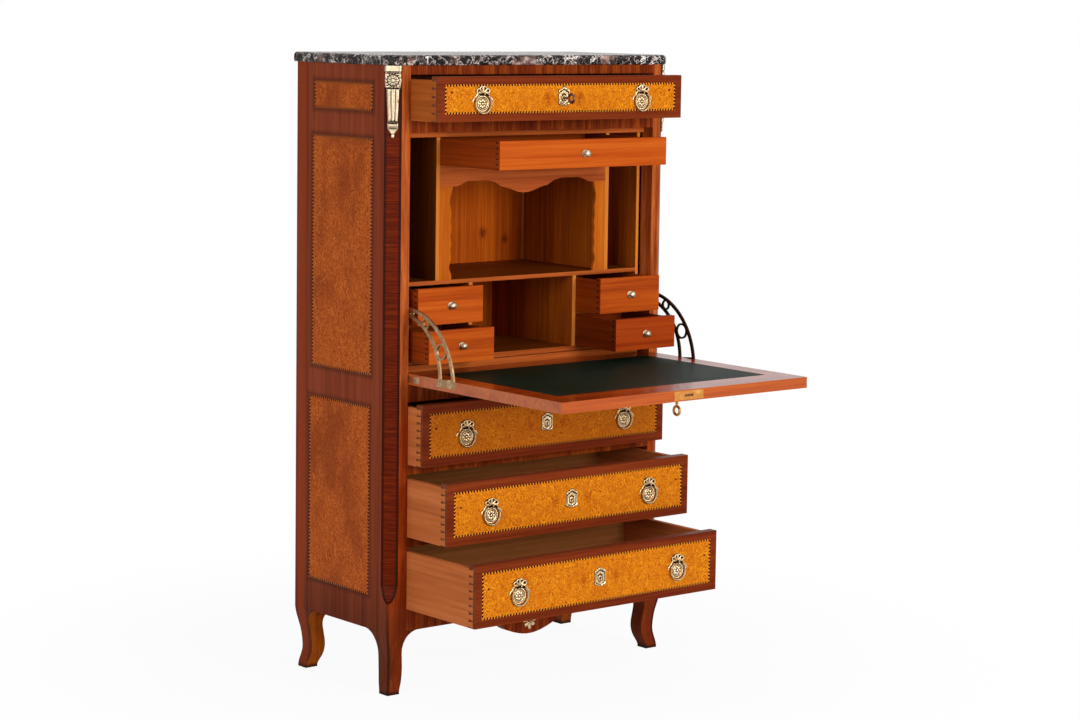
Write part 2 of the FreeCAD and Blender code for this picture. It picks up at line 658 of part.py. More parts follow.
# Fall front
def make_fall():
    free_y = hinge_y - fall_length
    half_thick = S["fall_thickness"] / 2
    under = hinge_z - half_thick
    board = block("fall_board", (-fall_end, fall_end), (free_y, hinge_y), (under, fall_face))
    roll = doc.addObject("Part::Cylinder", "fall_roll")
    roll.setExpression("Radius", half_thick.formula)
    roll.setExpression("Height", (fall_end * 2).formula)
    roll.Placement.Rotation = FreeCAD.Rotation(Vector(0, 1, 0), 90)
    for axis, value in (("x", -fall_end), ("y", hinge_y), ("z", hinge_z)):
        roll.setExpression(f"Placement.Base.{axis}", value.formula)
    joined = doc.addObject("Part::Fuse", "fall_blank")
    joined.Base = board
    joined.Tool = roll

    leather_x = fall_end - S["leather_side_margin"]
    leather_y = (free_y + S["leather_free_margin"], hinge_y - S["leather_hinge_margin"])
    seat = (fall_face - S["leather_recess"], fall_face)
    tools = [block("leather_seat", (-leather_x, leather_x), leather_y, (seat[0], seat[1] + S["overrun"]))]
    sheet_z = (seat[0], seat[0] + S["leather_thickness"])
    keep(block("fall_leather", (-leather_x, leather_x), leather_y, sheet_z), "fall_leather")

    plate_x = (fall_end - S["hinge_plate_thickness"], fall_end)
    plate_y = (hinge_y + S["hinge_plate_tail"] - S["hinge_plate_length"], hinge_y + S["hinge_plate_tail"])
    plate_z = (hinge_z - S["hinge_plate_height"] / 2, hinge_z + S["hinge_plate_height"] / 2)
    plates, pins, stays = [], [], []
    for span, sign in zip(mirrored(plate_x), (1, -1)):
        tools.append(block("plate_seat", span, plate_y, plate_z))
        end = Vector(sign * float(fall_end), float(hinge_y), float(hinge_z))
        inward = Vector(-sign, 0, 0)
        bore_radius = mm("pin_radius") + mm("pin_play")
        bore = Part.makeCylinder(bore_radius, mm("hinge_plate_thickness"), end, inward)
        plates.append(solid_box(span, plate_y, plate_z).cut(bore))
        relief = doc.addObject("Part::Feature", "pin_relief")
        spare = mm("pin_relief")
        relief.Shape = Part.makeCylinder(mm("pin_radius") + spare, mm("pin_reach") + spare, end, inward)
        tools.append(relief)
        root = Vector(sign * float(opening + S["pin_depth"]), float(hinge_y), float(hinge_z))
        length = mm("pin_depth") + mm("side_gap") + mm("pin_reach")
        pins.append(Part.makeCylinder(mm("pin_radius"), length, root, inward))
        stay, foot = make_stay(sign)
        stays.append(stay)
        seat_box = doc.addObject("Part::Feature", "stay_seat")
        seat_box.Shape = foot
        tools.append(seat_box)
    feature("hinge_plates", Part.makeCompound(plates))
    feature("hinge_pins", Part.makeCompound(pins))
    feature("quadrant_stays", Part.makeCompound(stays))

    edge = Vector(0, float(free_y), float(hinge_z))
    forward = Vector(0, -1, 0)
    across = Vector(1, 0, 0)
    up = Vector(0, 0, 1)
    half_wide = S["lock_plate_width"] / 2
    half_high = S["lock_plate_height"] / 2
    lock_face = free_y + S["lock_plate_thickness"]
    plate_span = ((-half_wide, half_wide), (free_y, lock_face), (hinge_z - half_high, hinge_z + half_high))
    tools.append(block("lock_plate_seat", *plate_span))
    case_half = S["lock_width"] / 2
    case_thick = S["fall_lock_thickness"] / 2
    tools.append(block("lock_seat", (-case_half, case_half), (lock_face, lock_face + S["fall_lock_depth"]),
                       (hinge_z - case_thick, hinge_z + case_thick)))
    behind_plate = edge - forward * mm("lock_plate_thickness")
    lock_size = (mm("fall_lock_thickness"), mm("fall_lock_depth"))
    _, case, bolt = make_lock(behind_plate, forward, across, up, *lock_size)
    window = bar(edge, forward, across, up, mm("bolt_width") + mm("bolt_play") * 2,
                 mm("bolt_thickness") + mm("bolt_play") * 2, mm("lock_plate_thickness"))
    lock_plate = solid_box(*plate_span).cut(window)
    keyhole = Vector(0, float(free_y) + mm("key_backset"), float(under))
    clear = doc.addObject("Part::Feature", "fall_key_bore")
    clear.Shape = Part.makeCylinder(mm("key_radius") + mm("key_clearance"), float(half_thick), keyhole, up)
    tools.append(clear)
    case = case.cut(Part.makeCylinder(mm("key_radius") + mm("key_play"), mm("fall_thickness"), keyhole, up))
    shield = make_escutcheon(keyhole, across, forward, -up)
    feature("fall_lock", Part.makeCompound([case, lock_plate, shield]))
    feature("fall_bolt", bolt)
    feature("fall_key", make_key(keyhole, -up, across))

    seats = doc.addObject("Part::Compound", "fall_seats")
    seats.Links = tools
    keep(cut("fall_panel", joined, seats), "fall_panel")


# Quadrant stays: openwork arcs about the hinge, with rings between the two rails
STAY_HEAD_DEGREES = 95
# Shares of the head's angle: where each ring sits, and where the opening starts and ends.
STAY_RING_SHARES = (0.31, 0.64, 0.87)
STAY_WINDOW_SHARES = (0.055, 0.94)


def make_stay(sign):
    def radius(edge, share):
        foot, head = mm(f"stay_foot_{edge}"), mm(f"stay_head_{edge}")
        return foot + (head - foot) * share

    def at(share, reach):
        angle = math.radians(STAY_HEAD_DEGREES * share)
        return Vector(0, float(hinge_y) - reach * math.cos(angle), float(hinge_z) + reach * math.sin(angle))

    def band(start, end, inset):
        middle = (start + end) / 2
        outer = [at(share, radius("outer", share) - inset) for share in (start, middle, end)]
        inner = [at(share, radius("inner", share) + inset) for share in (start, middle, end)]
        arcs = [Part.Arc(*outer).toShape(), Part.Arc(*inner).toShape()]
        ends = [line(outer[0], inner[0]), line(outer[-1], inner[-1])]
        return outline(arcs + ends, Vector(mm("stay_thickness"), 0, 0))

    stay = band(0, 1, 0).cut(band(*STAY_WINDOW_SHARES, mm("stay_rail")))
    for share in STAY_RING_SHARES:
        wide = radius("outer", share) - radius("inner", share)
        middle = at(share, radius("inner", share) + wide / 2)
        ring_radius = wide / 2 - mm("stay_rail") / 2
        hole_radius = ring_radius - mm("stay_ring_wall")
        ring = Part.makeCylinder(ring_radius, mm("stay_thickness"), middle, Vector(1, 0, 0))
        hole = Part.makeCylinder(hole_radius, mm("stay_thickness"), middle, Vector(1, 0, 0))
        stay = stay.fuse(ring).cut(hole)
    low = float(fall_face) - mm("stay_plate_height")
    above = Part.makeBox(mm("stay_thickness"), mm("stay_foot_outer") * 2, mm("stay_foot_outer"),
                         Vector(0, float(hinge_y) - mm("stay_foot_outer") * 2, low))
    above = above.fuse(Part.makeBox(mm("stay_thickness"), mm("stay_foot_outer"), mm("stay_foot_outer") * 2,
                                    Vector(0, float(hinge_y), low)))
    centre_y = float(hinge_y) - (mm("stay_foot_outer") + mm("stay_foot_inner")) / 2
    foot = Part.makeBox(mm("stay_thickness"), mm("stay_plate_length"), mm("stay_plate_height"),
                        Vector(0, centre_y - mm("stay_plate_length") / 2, low))
    stay = stay.common(above).fuse(foot).removeSplitter()
    shift = Vector(float(fall_end) - mm("stay_thickness") if sign > 0 else -float(fall_end), 0, 0)
    stay.translate(shift)
    foot.translate(shift)
    return stay, foot


# Inner fitting behind the fall
fitting_head = fall_head - S["insert_top"]
wide_floor = fitting_head - S["small_gap"] - S["wide_drawer_height"] - S["running_gap"]
floor_foot = fall_rail_top + S["sill_height"]
low_floor = floor_foot + S["insert_floor"]
divider_foot = low_floor + S["running_gap"] + S["low_drawer_height"] + S["small_gap"]
high_floor = divider_foot + S["divider"]
shelf_foot = high_floor + S["running_gap"] + S["high_drawer_height"] + S["shelf_gap"]
shelf_top = shelf_foot + S["shelf"]
bay_half = S["bay_width"] / 2
nest_half = S["nest_width"] / 2
nest_outer = nest_half + S["partition"]


def make_fitting():
    deep = (fitting_face, fitting_back)
    lining_foot = fall_rail_foot + S["dust_board"]
    walls = [block("lining", span, deep, (lining_foot, fitting_head))
             for span in mirrored((lining_inner, lining_outer))]
    walls += [block("upper_partition", span, deep, (shelf_top, fitting_head))
              for span in mirrored((bay_half, bay_half + S["partition"]))]
    walls += [block("lower_partition", span, deep, (low_floor, shelf_foot))
              for span in mirrored((nest_half, nest_outer))]
    group("fitting_partitions", walls)
    inside = (-lining_inner, lining_inner)
    outside = (-lining_outer, lining_outer)
    roll_back = hinge_y + S["fall_thickness"] / 2
    boards = [
        block("fitting_top", outside, deep, (fitting_head, fall_head)),
        block("fitting_back", outside, (fitting_back, back_face), (lining_foot, fall_head)),
        block("fitting_floor", inside, deep, (floor_foot, low_floor)),
        block("fitting_shelf", inside, deep, (shelf_foot, shelf_top)),
        block("bay_ceiling", (-bay_half, bay_half), deep, (wide_floor - S["bay_ceiling"], wide_floor)),
        block("fall_sill", inside, (roll_back + S["sill_gap"], roll_back + S["sill_gap"] + S["sill_depth"]),
              (fall_rail_top, floor_foot)),
        block("fall_stop", outside, (roll_back + S["side_gap"], fitting_face),
              (fall_head - S["stop_height"], fall_head)),
    ]
    boards += [block("small_divider", span, deep, (divider_foot, high_floor))
               for span in mirrored((nest_outer, lining_inner))]
    group("fitting_boards", boards)
    make_valance()
    make_pilasters()


# Shares of the bay's half width, and of the way from the arch to the end or to the drop.
VALANCE_END_SHARES = ((0.8, 1), (0.76, 0.72), (0.7, 0.14), (0.63, 0), (0.54, 0))
VALANCE_STEP_SHARES = ((0.45, 0), (0.37, 0.14), (0.28, 0.5))
VALANCE_DROP_SHARES = ((0.28, 0.5), (0.18, 0.68), (0.08, 0.92), (0, 1))


def make_valance():
    head = float(wide_floor - S["bay_ceiling"])
    half = float(bay_half)
    arch = head - mm("valance_arch")
    end = mm("valance_end") - mm("valance_arch")
    drop = mm("valance_drop") - mm("valance_arch")
    hollow = [Vector(half * u, 0, arch - end * v) for u, v in VALANCE_END_SHARES]
    hollow += [Vector(half * u, 0, arch - drop * v) for u, v in VALANCE_STEP_SHARES]
    point = [Vector(half * u, 0, arch - drop * v) for u, v in VALANCE_DROP_SHARES]
    curves = [curve([Vector(p.x * sign, 0, p.z) for p in run])
              for run in (hollow, point) for sign in (1, -1)]
    low, start = hollow[0].z, hollow[0].x
    frame = [(start, low), (half, low), (half, head), (-half, head), (-half, low), (-start, low)]
    corners = [Vector(x, 0, z) for x, z in frame]
    edges = curves + [line(a, b) for a, b in zip(corners, corners[1:])]
    valance = outline(edges, Vector(0, mm("valance_thickness"), 0))
    valance.translate(Vector(0, float(fitting_face), 0))
    feature("bay_valance", valance)


# Shares of the pilaster's wave, and of its height.
PILASTER_SHARES = ((0.6, 0), (0.3, 0.06), (-1.4, 0.13), (0.2, 0.23), (-0.5, 0.31), (0.3, 0.39),
                   (-0.5, 0.47), (0.3, 0.55), (-0.5, 0.63), (0.2, 0.71), (-1.4, 0.84), (0.5, 0.95), (1, 1))


def make_pilasters():
    foot = float(shelf_top)
    tall = float(wide_floor - S["bay_ceiling"]) - mm("valance_end") - foot
    half = float(bay_half)
    pair = []
    for sign in (-1, 1):
        wave = [Vector(sign * (half - mm("pilaster_width") - mm("pilaster_wave") * u), 0, foot + tall * v)
                for u, v in PILASTER_SHARES]
        corners = [wave[-1], Vector(sign * half, 0, foot + tall), Vector(sign * half, 0, foot), wave[0]]
        edges = [curve(wave)] + [line(a, b) for a, b in zip(corners, corners[1:])]
        pilaster = outline(edges, Vector(0, mm("pilaster_thickness"), 0))
        pilaster.translate(Vector(0, float(fitting_face), 0))
        pair.append(pilaster)
    feature("bay_pilasters", Part.makeCompound(pair))


# Shares of the knob's radius and length along its turned outline, after the neck, which ends at a
# share too.
NECK_SHARE = 0.3
KNOB_SHARES = ((0.62, 0.42), (0.96, 0.58), (1, 0.72), (0.8, 0.9), (0.34, 0.985), (0, 1))


def make_knob(origin):
    """A turned knob: flat rose, neck and a button head."""
    rose = mm("knob_rose")
    neck = mm("knob_neck")
    rim = mm("knob_rose_radius")
    profile = [(0, 0), (rim, 0), (rim, rose), (neck, rose), (neck, mm("knob_length") * NECK_SHARE)]
    profile += [(mm("knob_radius") * u, mm("knob_length") * v) for u, v in KNOB_SHARES]
    return turned(profile, origin, Vector(0, -1, 0))


SMALL_DRAWERS = {
    "wide": (0, wide_floor, "wide_drawer_height", "wide_out", "wide_length"),
    "high_left": (-1, high_floor, "high_drawer_height", "high_left_out", "high_length"),
    "high_right": (1, high_floor, "high_drawer_height", "high_right_out", "high_length"),
    "low_left": (-1, low_floor, "low_drawer_height", "low_left_out", "low_length"),
    "low_right": (1, low_floor, "low_drawer_height", "low_right_out", "low_length"),
}


def make_small_drawers():
    for name, (side, floor, height_name, out, length) in SMALL_DRAWERS.items():
        low, high = (-bay_half, bay_half) if side == 0 else (nest_outer, lining_inner)
        width = float(high - low) - mm("side_gap") * 2
        centre = side * float(low + high) / 2
        base = float(floor) + mm("running_gap")
        face = float(front) - mm(out)
        height = mm(height_name)
        board, walls = make_drawer(centre, width, height, base, face, mm(length), "small")
        feature(f"{name}_small_drawer", Part.makeCompound([board] + walls))
        feature(f"{name}_knob", make_knob(Vector(centre, face, base + height / 2)))


# Gilt mounts of the case
# Shares of half the width and of the height, from the pendant at the foot up.
CHUTE_SHARES = ((0, 0), (0.16, 0.012), (0.22, 0.035), (0.16, 0.06), (0.3, 0.075), (0.64, 0.135),
                (0.68, 0.2), (0.62, 0.225), (0.74, 0.52), (0.78, 0.67), (0.94, 0.71), (1, 0.79),
                (0.96, 0.88), (0.9, 0.905), (1, 0.92), (1, 1))
# The rosette's height, then its turned outline: shares of half the width and of the relief.
ROSETTE_SHARE = 0.8
ROSETTE_SHARES = ((0, 0), (0.72, 0), (0.7, 0.5), (0.58, 0.8), (0.46, 0.5), (0.34, 0.55), (0.24, 0.9),
                  (0, 1))
# Each rib: shares of half the width at foot and head, and of the height at foot and head.
RIB_SHARES = ((-0.3, -0.38, 0.24, 0.66), (0, 0, 0.24, 0.66), (0.3, 0.38, 0.24, 0.66))
RIB_END_SHARES = (0.09, 0.15)


def make_corner_mounts():
    """Tapered drops on the canted corners: block with a rosette, ribbed body and pendant."""
    pair = []
    up = Vector(0, 0, 1)
    tall = mm("chute_height")
    half = mm("chute_width") / 2
    for sign in (-1, 1):
        outward = Vector(sign, -1, 0).normalize()
        across = Vector(-outward.y, outward.x, 0)
        foot = Vector(sign * float(half_case), float(front), 0) - outward * (mm("cant") / math.sqrt(2))
        foot.z = float(case_top) - mm("chute_top_gap") - tall
        right = [(half * u, tall * v) for u, v in CHUTE_SHARES]
        points = placed(right + [(-u, v) for u, v in right[:0:-1]], foot, across, up)
        drop = Part.Face(Part.makePolygon(points + points[:1])).extrude(outward * mm("chute_thickness"))
        face = foot + outward * mm("chute_thickness")
        rosette = [(half * u, mm("chute_relief") * v) for u, v in ROSETTE_SHARES]
        relief = [turned(rosette, face + up * (tall * ROSETTE_SHARE), outward)]
        for low_u, high_u, low_v, high_v in RIB_SHARES:
            base = face + across * (half * low_u) + up * (tall * low_v)
            reach = across * (half * (high_u - low_u)) + up * (tall * (high_v - low_v))
            radii = (half * share for share in RIB_END_SHARES)
            relief.append(Part.makeCone(*radii, reach.Length, base, reach))
        pair.append(drop.fuse(relief).removeSplitter())
    feature("corner_mounts", Part.makeCompound(pair))


# Shares of the width and height, right half from the foot to the crest.
LEAF_SHARES = ((0, -0.5), (0.12, -0.36), (0.3, -0.45), (0.37, -0.3), (0.22, -0.15), (0.44, -0.17),
               (0.5, 0), (0.26, 0.06), (0.42, 0.2), (0.38, 0.36), (0.16, 0.2), (0.12, 0.4), (0, 0.5))


def make_leaf():
    origin = Vector(0, float(front), mm("leg_height") - mm("apron_drop") + mm("leaf_rise"))
    outward = Vector(0, -1, 0)
    leaf = plaque(both_halves(LEAF_SHARES, mm("leaf_width"), mm("leaf_height")), origin, Vector(1, 0, 0),
                  Vector(0, 0, 1), outward, mm("leaf_thickness"))
    feature("apron_mount", leaf)


make_marble()
make_posts()
make_case()
make_apron()
make_long_drawers()
make_fall()
make_fitting()
make_small_drawers()
make_corner_mounts()
make_leaf()

doc.recompute()
for item in doc.Objects:
    if "Invalid" in item.State or "Error" in item.State:
        raise RuntimeError(f"{item.Label} did not recompute: {item.State}")
for piece in sub_parts:
    if piece.Shape.isNull() or not piece.Shape.isValid() or not piece.Shape.Solids:
        raise RuntimeError(f"{piece.Label} has no valid solid")
for piece in sub_parts:
    piece.Shape.exportStep(f"parts/{piece.Label}.step")
print(f"{len(sub_parts)} sub-parts written")
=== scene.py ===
# %% [markdown]
# # Dressing a fall-front writing cabinet
# The cabinet's solids and joints come from CAD, in metres: X runs to the right, the front faces -Y and
# Z is up. They are loaded as a fixed frame. Most boards already have the right shape, so they only need
# a finish. The gilt castings are too fine for CAD, so they are worked out here as surfaces.

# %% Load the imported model
import math

import bmesh
import bpy
import numpy as np
from mathutils import Matrix, Vector


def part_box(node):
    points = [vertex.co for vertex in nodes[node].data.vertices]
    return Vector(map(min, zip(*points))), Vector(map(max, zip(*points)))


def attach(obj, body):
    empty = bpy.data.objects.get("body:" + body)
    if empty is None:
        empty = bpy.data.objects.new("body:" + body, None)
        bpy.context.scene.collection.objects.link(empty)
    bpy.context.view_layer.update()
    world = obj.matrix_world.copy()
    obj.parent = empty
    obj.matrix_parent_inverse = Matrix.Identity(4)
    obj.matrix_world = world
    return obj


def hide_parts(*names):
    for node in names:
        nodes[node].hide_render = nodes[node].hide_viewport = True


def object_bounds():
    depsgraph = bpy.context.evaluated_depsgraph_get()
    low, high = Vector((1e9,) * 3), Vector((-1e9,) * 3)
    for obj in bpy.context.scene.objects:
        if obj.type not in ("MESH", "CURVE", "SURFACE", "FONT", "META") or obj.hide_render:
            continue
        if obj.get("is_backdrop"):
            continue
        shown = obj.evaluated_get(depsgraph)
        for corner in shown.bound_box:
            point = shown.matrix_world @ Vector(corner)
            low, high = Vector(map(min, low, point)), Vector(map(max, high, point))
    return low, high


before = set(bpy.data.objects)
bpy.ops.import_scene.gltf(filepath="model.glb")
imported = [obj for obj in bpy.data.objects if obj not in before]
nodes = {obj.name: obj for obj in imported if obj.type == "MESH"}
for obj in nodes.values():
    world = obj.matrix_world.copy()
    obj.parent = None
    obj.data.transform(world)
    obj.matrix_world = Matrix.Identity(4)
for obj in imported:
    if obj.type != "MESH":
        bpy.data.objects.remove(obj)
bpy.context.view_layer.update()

# %% [markdown]
# ## Camera
# The camera stands where the photographer stood. Its place, turn and lens were fitted to the straight
# edges of the case. The small vertical shift is the one that the picture's framing needs, and depth of
# field stays off.

# %% Stand the camera where the photographer stood
EYE = (-3.8299, -4.8787, 1.507)
YAW, PITCH, ROLL = 0.686, 0.1004, 0.0139
LENS, SENSOR, FAR_CLIP = 90.39, 36, 60
PICTURE_WIDTH, PICTURE_SHIFT = 1080, -80
scene = bpy.context.scene
forward = Vector((math.sin(YAW) * math.cos(PITCH), math.cos(YAW) * math.cos(PITCH), -math.sin(PITCH)))
level = Vector((math.cos(YAW), -math.sin(YAW), 0))
upright = level.cross(forward)
right = level * math.cos(ROLL) + upright * math.sin(ROLL)
up = upright * math.cos(ROLL) - level * math.sin(ROLL)
turn = Matrix((right, up, -forward)).transposed().to_4x4()
camera = bpy.data.objects.new("photo_camera", bpy.data.cameras.new("photo_camera"))
scene.collection.objects.link(camera)
camera.matrix_world = Matrix.Translation(EYE) @ turn
camera.data.sensor_width = SENSOR
camera.data.lens = LENS
camera.data.shift_y = PICTURE_SHIFT / PICTURE_WIDTH
camera.data.clip_end = FAR_CLIP
scene.camera = camera
print("camera at", EYE, "lens", LENS)

# %% [markdown]
# ## A short way to write node trees
# Materials here are graphs of small steps. A helper that adds a node, fills its sockets and joins it to
# others keeps each finish readable as a few lines of plain words. A colour is given as six hex digits.

# %% Helper: colours and nodes
def tint(code):
    """A colour from its six hex digits, turned from screen values to the linear ones that shaders use."""
    screen = np.array([int(code[i:i + 2], 16) for i in (0, 2, 4)]) / 255
    linear = np.where(screen > 0.04045, ((screen + 0.055) / 1.055) ** 2.4, screen / 12.92)
    return (*linear.tolist(), 1.0)


class Tree:
    """A node tree, with short ways to add nodes and join them."""

    def __init__(self, tree):
        """Keeps the tree that nodes are added to."""
        self.tree = tree

    def feed(self, node, feeds):
        """Gives sockets of a node a value, a colour code or another node's output."""
        for key, value in feeds.items():
            if isinstance(value, bpy.types.NodeSocket):
                self.tree.links.new(value, node.inputs[key])
            else:
                node.inputs[key].default_value = tint(value) if isinstance(value, str) else value

    def add(self, kind, feeds=None, **settings):
        """Adds a node with its settings, and feeds its sockets."""
        node = self.tree.nodes.new(kind)
        for key, value in settings.items():
            setattr(node, key, value)
        self.feed(node, feeds or {})
        return node

    def group(self, tree, feeds):
        """Adds a shared effect, and gives all its outputs."""
        return self.add("ShaderNodeGroup", feeds, node_tree=tree).outputs


print("white is", tint("ffffff"))

# %% Helper: sums and masks
class Sums(Tree):
    """A node tree with arithmetic."""

    def calc(self, operation, *terms):
        """One step of arithmetic."""
        return self.add("ShaderNodeMath", dict(enumerate(terms)), operation=operation).outputs[0]

    def times(self, first, second):
        """Product of two values; of two masks, the part they share."""
        return self.calc("MULTIPLY", first, second)

    def minus(self, first, second):
        """First value less the second."""
        return self.calc("SUBTRACT", first, second)

    def absolute(self, value):
        """A value without its sign."""
        return self.calc("ABSOLUTE", value)

    def apart(self, first, second):
        """How far two values lie apart."""
        return self.absolute(self.minus(first, second))

    def above(self, value, limit):
        """1 where a value is above a limit."""
        return self.calc("GREATER_THAN", value, limit)

    def below(self, value, limit):
        """1 where a value is below a limit."""
        return self.calc("LESS_THAN", value, limit)

    def step(self, value, low, high):
        """0 below low, 1 above high, and a soft rise between."""
        feeds = {"Value": value, "From Min": low, "From Max": high}
        return self.add("ShaderNodeMapRange", feeds, interpolation_type="SMOOTHSTEP").outputs[0]

    def fade(self, value, low, high):
        """1 below low, 0 above high, and a soft fall between."""
        return self.minus(1.0, self.step(value, low, high))


print("masks come from above, below, step and fade")

# %% Helper: places and noises
class Places(Sums):
    """A node tree with points, and noises to draw at them."""

    def point(self, x, y, z=0.0):
        """A point from its three coordinates."""
        return self.add("ShaderNodeCombineXYZ", {0: x, 1: y, 2: z}).outputs[0]

    def split(self, place):
        """The three coordinates of a point."""
        return self.add("ShaderNodeSeparateXYZ", {0: place}).outputs

    def vector(self, operation, first, second, output=0):
        """One step of arithmetic on two vectors."""
        feeds = {0: first, 1: second}
        return self.add("ShaderNodeVectorMath", feeds, operation=operation).outputs[output]

    def length(self, place):
        """Distance of a point from the middle."""
        return self.add("ShaderNodeVectorMath", {0: place}, operation="LENGTH").outputs["Value"]

    def stretch(self, place, factors, shift=(0, 0, 0)):
        """A point with each coordinate times a factor, then moved."""
        feeds = {"Vector": place, "Scale": factors, "Location": shift}
        return self.add("ShaderNodeMapping", feeds).outputs[0]

    def noise(self, place, scale, detail=4.0, roughness=0.55, distortion=0.0, output="Fac"):
        """Cloudy noise; a larger scale makes it finer."""
        feeds = {"Vector": place, "Scale": scale, "Detail": detail, "Roughness": roughness,
                 "Distortion": distortion}
        return self.add("ShaderNodeTexNoise", feeds).outputs[output]

    def bend(self, place, scale, detail, roughness, amount):
        """Moves each point by a noise, so that what is drawn there swirls."""
        swirl = self.noise(place, scale, detail, roughness, output="Color")
        pull = self.add("ShaderNodeVectorMath", {0: swirl, "Scale": amount}, operation="SCALE")
        return self.vector("ADD", place, pull.outputs[0])


print("places come from point, stretch and bend")

# %% Helper: colours and relief
class Graph(Places):
    """A node tree with all the short ways, also those that mix colours."""

    def mix(self, share, first, second, strength=1.0):
        """The second colour laid over the first where share is 1, as strongly as given."""
        if strength != 1.0:
            share = self.times(share, strength)
        feeds = {0: share, 6: first, 7: second}
        return self.add("ShaderNodeMix", feeds, data_type="RGBA").outputs[2]

    def tones(self, value, *codes, low=0.0, middle=0.5, high=1.0):
        """Two or three colours for the heights of a value, from low over the middle to high."""
        node = self.add("ShaderNodeValToRGB", {0: value})
        places = (low, middle, high) if len(codes) == 3 else (low, high)
        if len(codes) == 3:
            node.color_ramp.elements.new(1)
        for element, place, code in zip(node.color_ramp.elements, places, codes):
            element.position = place
            element.color = tint(code)
        return node.outputs[0]

    def relief(self, height, strength, depth):
        """A normal that shows a height as fine relief."""
        feeds = {"Height": height, "Strength": strength, "Distance": depth}
        return self.add("ShaderNodeBump", feeds).outputs[0]


print("graphs have", sum(not name.startswith("_") for name in dir(Graph)), "short ways")

# %% Helper: groups and finishes
def start_group(name, inputs):
    """A new shader group with named inputs; Vector inputs are marked by a trailing star."""
    tree = bpy.data.node_groups.new(name, "ShaderNodeTree")
    for label in inputs:
        kind = "NodeSocketVector" if label.endswith("*") else "NodeSocketFloat"
        tree.interface.new_socket(label.rstrip("*"), in_out="INPUT", socket_type=kind)
    graph = Graph(tree)
    return graph, graph.add("NodeGroupInput").outputs


def end_group(graph, results):
    """Gives a shader group its named outputs."""
    for label in results:
        graph.tree.interface.new_socket(label, in_out="OUTPUT", socket_type="NodeSocketFloat")
    graph.add("NodeGroupOutput", results)
    print("group", graph.tree.name, "gives", ", ".join(results))
    return graph.tree


def clean_graph(owner):
    """The emptied node tree of a material or a world."""
    owner.use_nodes = True
    owner.node_tree.nodes.clear()
    return Graph(owner.node_tree)


def start_finish(name):
    """A material with one shader, and the object's own coordinates and normal to draw patterns with."""
    material = bpy.data.materials.new(name)
    graph = clean_graph(material)
    shader = graph.add("ShaderNodeBsdfPrincipled")
    graph.add("ShaderNodeOutputMaterial", {"Surface": shader.outputs[0]})
    where = graph.add("ShaderNodeTexCoord").outputs
    return material, graph, shader, where["Object"], where["Normal"]


print("the frame brings", len(bpy.data.materials), "finishes of its own")

# %% [markdown]
# ## Floor and light
# The photograph is a studio picture on white. A pale floor fades to white away from the feet but keeps
# the soft shadow under them, and the world is fully white only where the camera or a reflection looks.
# The main light faces the front squarely, so the left side of the case is the shaded one.

# %% Floor and air
FLOOR_HALF = 14.0
WHITE, PAPER_GREY = (1, 1, 1, 1), (0.86, 0.86, 0.86, 1)
# Share of its shading that the floor shows at the feet, and the distances over which that fades out.
SHADE_SHARE, SHADE_FADES = 0.06, (0.5, 1.5)
# Strength of the air on rays that only carry light.
AIR_LIGHT = 0.3
scene.view_settings.view_transform = "Standard"


def seen(graph):
    """1 on rays of the camera, of reflections and through clear pieces, 0 on rays that only carry light."""
    path = graph.add("ShaderNodeLightPath").outputs
    direct = graph.calc("MAXIMUM", path["Is Camera Ray"], path["Is Glossy Ray"])
    return graph.calc("MAXIMUM", direct, path["Is Transmission Ray"])


floor_mesh = bpy.data.meshes.new("studio_floor")
corners = np.array([[-1, -1, 0], [1, -1, 0], [1, 1, 0], [-1, 1, 0]]) * FLOOR_HALF
floor_mesh.from_pydata(corners.tolist(), [], [[0, 1, 2, 3]])
floor = bpy.data.objects.new("studio_floor", floor_mesh)
scene.collection.objects.link(floor)
floor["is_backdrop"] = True

floor_finish = bpy.data.materials.new("studio_paper")
paper = clean_graph(floor_finish)
distance = paper.length(paper.add("ShaderNodeTexCoord").outputs["Object"])
far_off = paper.step(distance, *SHADE_FADES)
glow = paper.calc("MULTIPLY_ADD", far_off, SHADE_SHARE, 1 - SHADE_SHARE)
glow = paper.times(seen(paper), glow)
diffuse = paper.add("ShaderNodeBsdfDiffuse", {"Color": PAPER_GREY})
white = paper.add("ShaderNodeEmission", {"Color": WHITE, "Strength": 1.0})
blend = paper.add("ShaderNodeMixShader", {0: glow, 1: diffuse.outputs[0], 2: white.outputs[0]})
paper.add("ShaderNodeOutputMaterial", {"Surface": blend.outputs[0]})
floor_mesh.materials.append(floor_finish)

scene.world = bpy.data.worlds.new("studio_air")
air = clean_graph(scene.world)
strength = air.calc("MULTIPLY_ADD", seen(air), 1 - AIR_LIGHT, AIR_LIGHT)
sky = air.add("ShaderNodeBackground", {"Color": WHITE, "Strength": strength})
air.add("ShaderNodeOutputWorld", {"Surface": sky.outputs[0]})
print("floor", 2 * FLOOR_HALF, "m wide, in white air")

# %% Lamps
def soft_box(name, place, aim, size, power):
    """A square lamp that looks at a point."""
    lamp = bpy.data.lights.new(name, "AREA")
    lamp.size = size
    lamp.energy = power
    holder = bpy.data.objects.new(name, lamp)
    scene.collection.objects.link(holder)
    holder.location = place
    holder.rotation_euler = (Vector(aim) - Vector(place)).to_track_quat("-Z", "Y").to_euler()


soft_box("key_light", place=(0.6, -5.2, 1.75), aim=(0, -0.1, 0.8), size=1.8, power=190)
soft_box("fill_light", place=(-4.6, -2.4, 2.0), aim=(-0.2, 0, 0.8), size=2.4, power=85)
soft_box("top_light", place=(0.3, -0.6, 4.2), aim=(0, -0.1, 1.0), size=2.2, power=30)
print(len(bpy.data.lights), "lamps")

